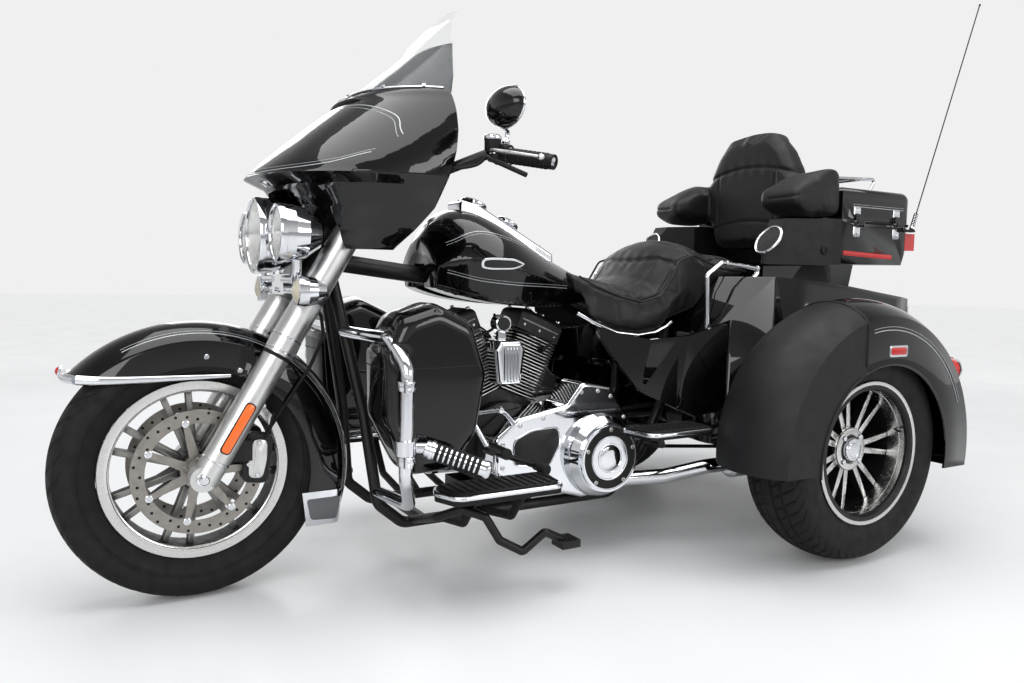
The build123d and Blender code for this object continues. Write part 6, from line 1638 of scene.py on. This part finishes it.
class TRIKE_OT_stage(bpy.types.Operator):
    """Adds the pale floor, the studio lights and the camera at the photograph's viewpoint"""
    bl_idname = "trike.stage"
    bl_label = "Add Stage"

    def execute(self, context):
        sizes = context.scene.trike
        world = bpy.data.worlds.new("studio")
        context.scene.world = world
        world.use_nodes = True
        tree = world.node_tree
        tree.nodes.clear()
        rays = add(tree, "ShaderNodeLightPath")
        seen = add(tree, "ShaderNodeMath",
                   {0: rays.outputs["Is Camera Ray"], 1: rays.outputs["Is Glossy Ray"]},
                   operation="MAXIMUM")
        clear = add(tree, "ShaderNodeMath", {0: seen.outputs[0], 1: rays.outputs["Is Transmission Ray"]},
                    operation="MAXIMUM")
        way = add(tree, "ShaderNodeSeparateXYZ", {0: add(tree, "ShaderNodeTexCoord").outputs["Generated"]})
        rise = add(tree, "ShaderNodeMapRange", {"Value": way.outputs["Z"], "From Min": 0.05, "From Max": 0.75,
                                                "To Min": 0.84, "To Max": 0.3})
        level = add(tree, "ShaderNodeMix", {0: rays.outputs["Is Camera Ray"], 2: rise.outputs[0], 3: 0.87},
                    data_type="FLOAT")
        dim = add(tree, "ShaderNodeBackground", {"Color": linear("#F2F4F6"), "Strength": 0.5})
        white = add(tree, "ShaderNodeBackground", {"Color": linear("#FFFFFF"), "Strength": level.outputs[0]})
        both = add(tree, "ShaderNodeMixShader", {0: clear.outputs[0], 1: dim.outputs[0], 2: white.outputs[0]})
        add(tree, "ShaderNodeOutputWorld", {"Surface": both.outputs[0]})

        # Sealed white studio floor: a dull sheen that mirrors the wheels faintly.
        floor_finish = finish("painted_studio_floor", "#D9DADB", roughness=0.34, tint=("#D4D5D6", 900, 0.5),
                              spread=(0.28, 0.42, 300))
        tree = floor_finish.node_tree
        shader = next(n for n in tree.nodes if n.type == "BSDF_PRINCIPLED")
        out = next(n for n in tree.nodes if n.type == "OUTPUT_MATERIAL")
        rays = add(tree, "ShaderNodeLightPath")
        place = add(tree, "ShaderNodeTexCoord").outputs["Object"]
        reach = add(tree, "ShaderNodeVectorMath", {0: place}, operation="LENGTH").outputs["Value"]
        fill = add(tree, "ShaderNodeMapRange", {"Value": reach, "From Min": 1.5, "From Max": 6.0,
                                                "To Min": 0.03, "To Max": 0.4}).outputs[0]
        glow = add(tree, "ShaderNodeEmission", {"Color": linear("#FFFFFF"), "Strength": fill})
        lit = add(tree, "ShaderNodeAddShader", {0: shader.outputs[0], 1: glow.outputs[0]})
        mix = add(tree, "ShaderNodeMixShader", {0: rays.outputs["Is Camera Ray"], 1: shader.outputs[0],
                                                2: lit.outputs[0]})
        tree.links.new(mix.outputs[0], out.inputs["Surface"])
        half = sizes.floor_size / 2
        mesh = bpy.data.meshes.new("floor")
        mesh.from_pydata([(-half, -half, 0), (half, -half, 0), (half, half, 0), (-half, half, 0)], [],
                         [(0, 1, 2, 3)])
        floor = bpy.data.objects.new("floor", mesh)
        floor.data.materials.append(floor_finish)
        context.collection.objects.link(floor)

        light("overhead_softbox", (0.6, -0.2, 3.6), (0, 0, 0.4), (4.5, 3.2), sizes.light_power * 1.0)
        light("front_softbox", (3.4, -3.2, 2.2), (0, -0.3, 0.5), (2.6, 2.0), sizes.light_power * 0.5)
        light("side_strip", (3.8, 1.6, 1.7), (0, 0.3, 0.5), (2.4, 1.2), sizes.light_power * 0.28)
        light("far_softbox", (-3.6, 0.4, 2.4), (0, 0, 0.6), (3.0, 1.8), sizes.light_power * 0.3)

        lens = bpy.data.cameras.new("photo_camera")
        lens.sensor_width, lens.lens = SENSOR, SENSOR * FOCAL_PIXELS / PICTURE_WIDTH
        camera = bpy.data.objects.new("photo_camera", lens)
        context.collection.objects.link(camera)
        yaw, pitch, roll = (math.radians(a) for a in CAMERA_TURN)
        ahead = Vector((-math.cos(yaw) * math.cos(pitch), math.sin(yaw) * math.cos(pitch), math.sin(pitch)))
        across = Vector((math.sin(yaw), math.cos(yaw), 0))
        up = across.cross(ahead)
        right = math.cos(roll) * across + math.sin(roll) * up
        top = -math.sin(roll) * across + math.cos(roll) * up
        place = Matrix((right, top, -ahead)).transposed().to_4x4()
        place.translation = CAMERA_AT
        camera.matrix_world = place
        context.scene.camera = camera
        context.scene.view_settings.view_transform = "Standard"
        return {"FINISHED"}


class TRIKE_OT_finishes(bpy.types.Operator):
    """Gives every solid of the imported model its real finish"""
    bl_idname = "trike.finishes"
    bl_label = "Apply Finishes"

    def execute(self, context):
        FINISHES.update(make_finishes())
        for name, nodes in CAD_FINISHES.items():
            for node in nodes.split():
                slots = NODES[node].material_slots
                for index in range(len(slots)):
                    slots[index].material = FINISHES[name]
        return {"FINISHED"}


class TrikeSettings(bpy.types.PropertyGroup):
    """Sizes and levels of the trike's dressing that a user would change."""
    floor_size: FloatProperty(name="Floor Size", description="Side of the square studio floor",
                              default=60.0, min=5.0, unit="LENGTH")
    light_power: FloatProperty(name="Light Power", description="Power of the overhead softbox", default=150.0,
                               min=0.0, subtype="POWER")


OPERATORS = (TRIKE_OT_finishes, TRIKE_OT_panels, TRIKE_OT_tyres, TRIKE_OT_wheel_faces, TRIKE_OT_brakes,
             TRIKE_OT_fork_trim, TRIKE_OT_fender_trim, TRIKE_OT_lamps, TRIKE_OT_fairing_trim,
             TRIKE_OT_screen, TRIKE_OT_bars, TRIKE_OT_tank_trim, TRIKE_OT_engine_trim,
             TRIKE_OT_primary_trim, TRIKE_OT_boards, TRIKE_OT_pod_trim, TRIKE_OT_seat, TRIKE_OT_backrest,
             TRIKE_OT_case_trim, TRIKE_OT_tail_trim, TRIKE_OT_rear_fender_trim, TRIKE_OT_stage,)


class TRIKE_PT_panel(bpy.types.Panel):
    """Lists the trike's operators in the sidebar."""
    bl_idname = "TRIKE_PT_panel"
    bl_label = "Touring Trike"
    bl_space_type = "VIEW_3D"
    bl_region_type = "UI"
    bl_category = "Trike"

    def draw(self, context):
        for name in TrikeSettings.__annotations__:
            self.layout.prop(context.scene.trike, name)
        for operator in OPERATORS:
            self.layout.operator(operator.bl_idname)


CLASSES = (TrikeSettings, *OPERATORS, TRIKE_PT_panel)


def register():
    for item in CLASSES:
        bpy.utils.register_class(item)
    bpy.types.Scene.trike = PointerProperty(type=TrikeSettings)


def unregister():
    del bpy.types.Scene.trike
    for item in reversed(CLASSES):
        bpy.utils.unregister_class(item)


def main():
    """Registers the classes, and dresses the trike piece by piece."""
    register()
    for operator in OPERATORS:
        group, name = operator.bl_idname.split(".")
        getattr(getattr(bpy.ops, group), name)()


if __name__ == "__main__":
    main()
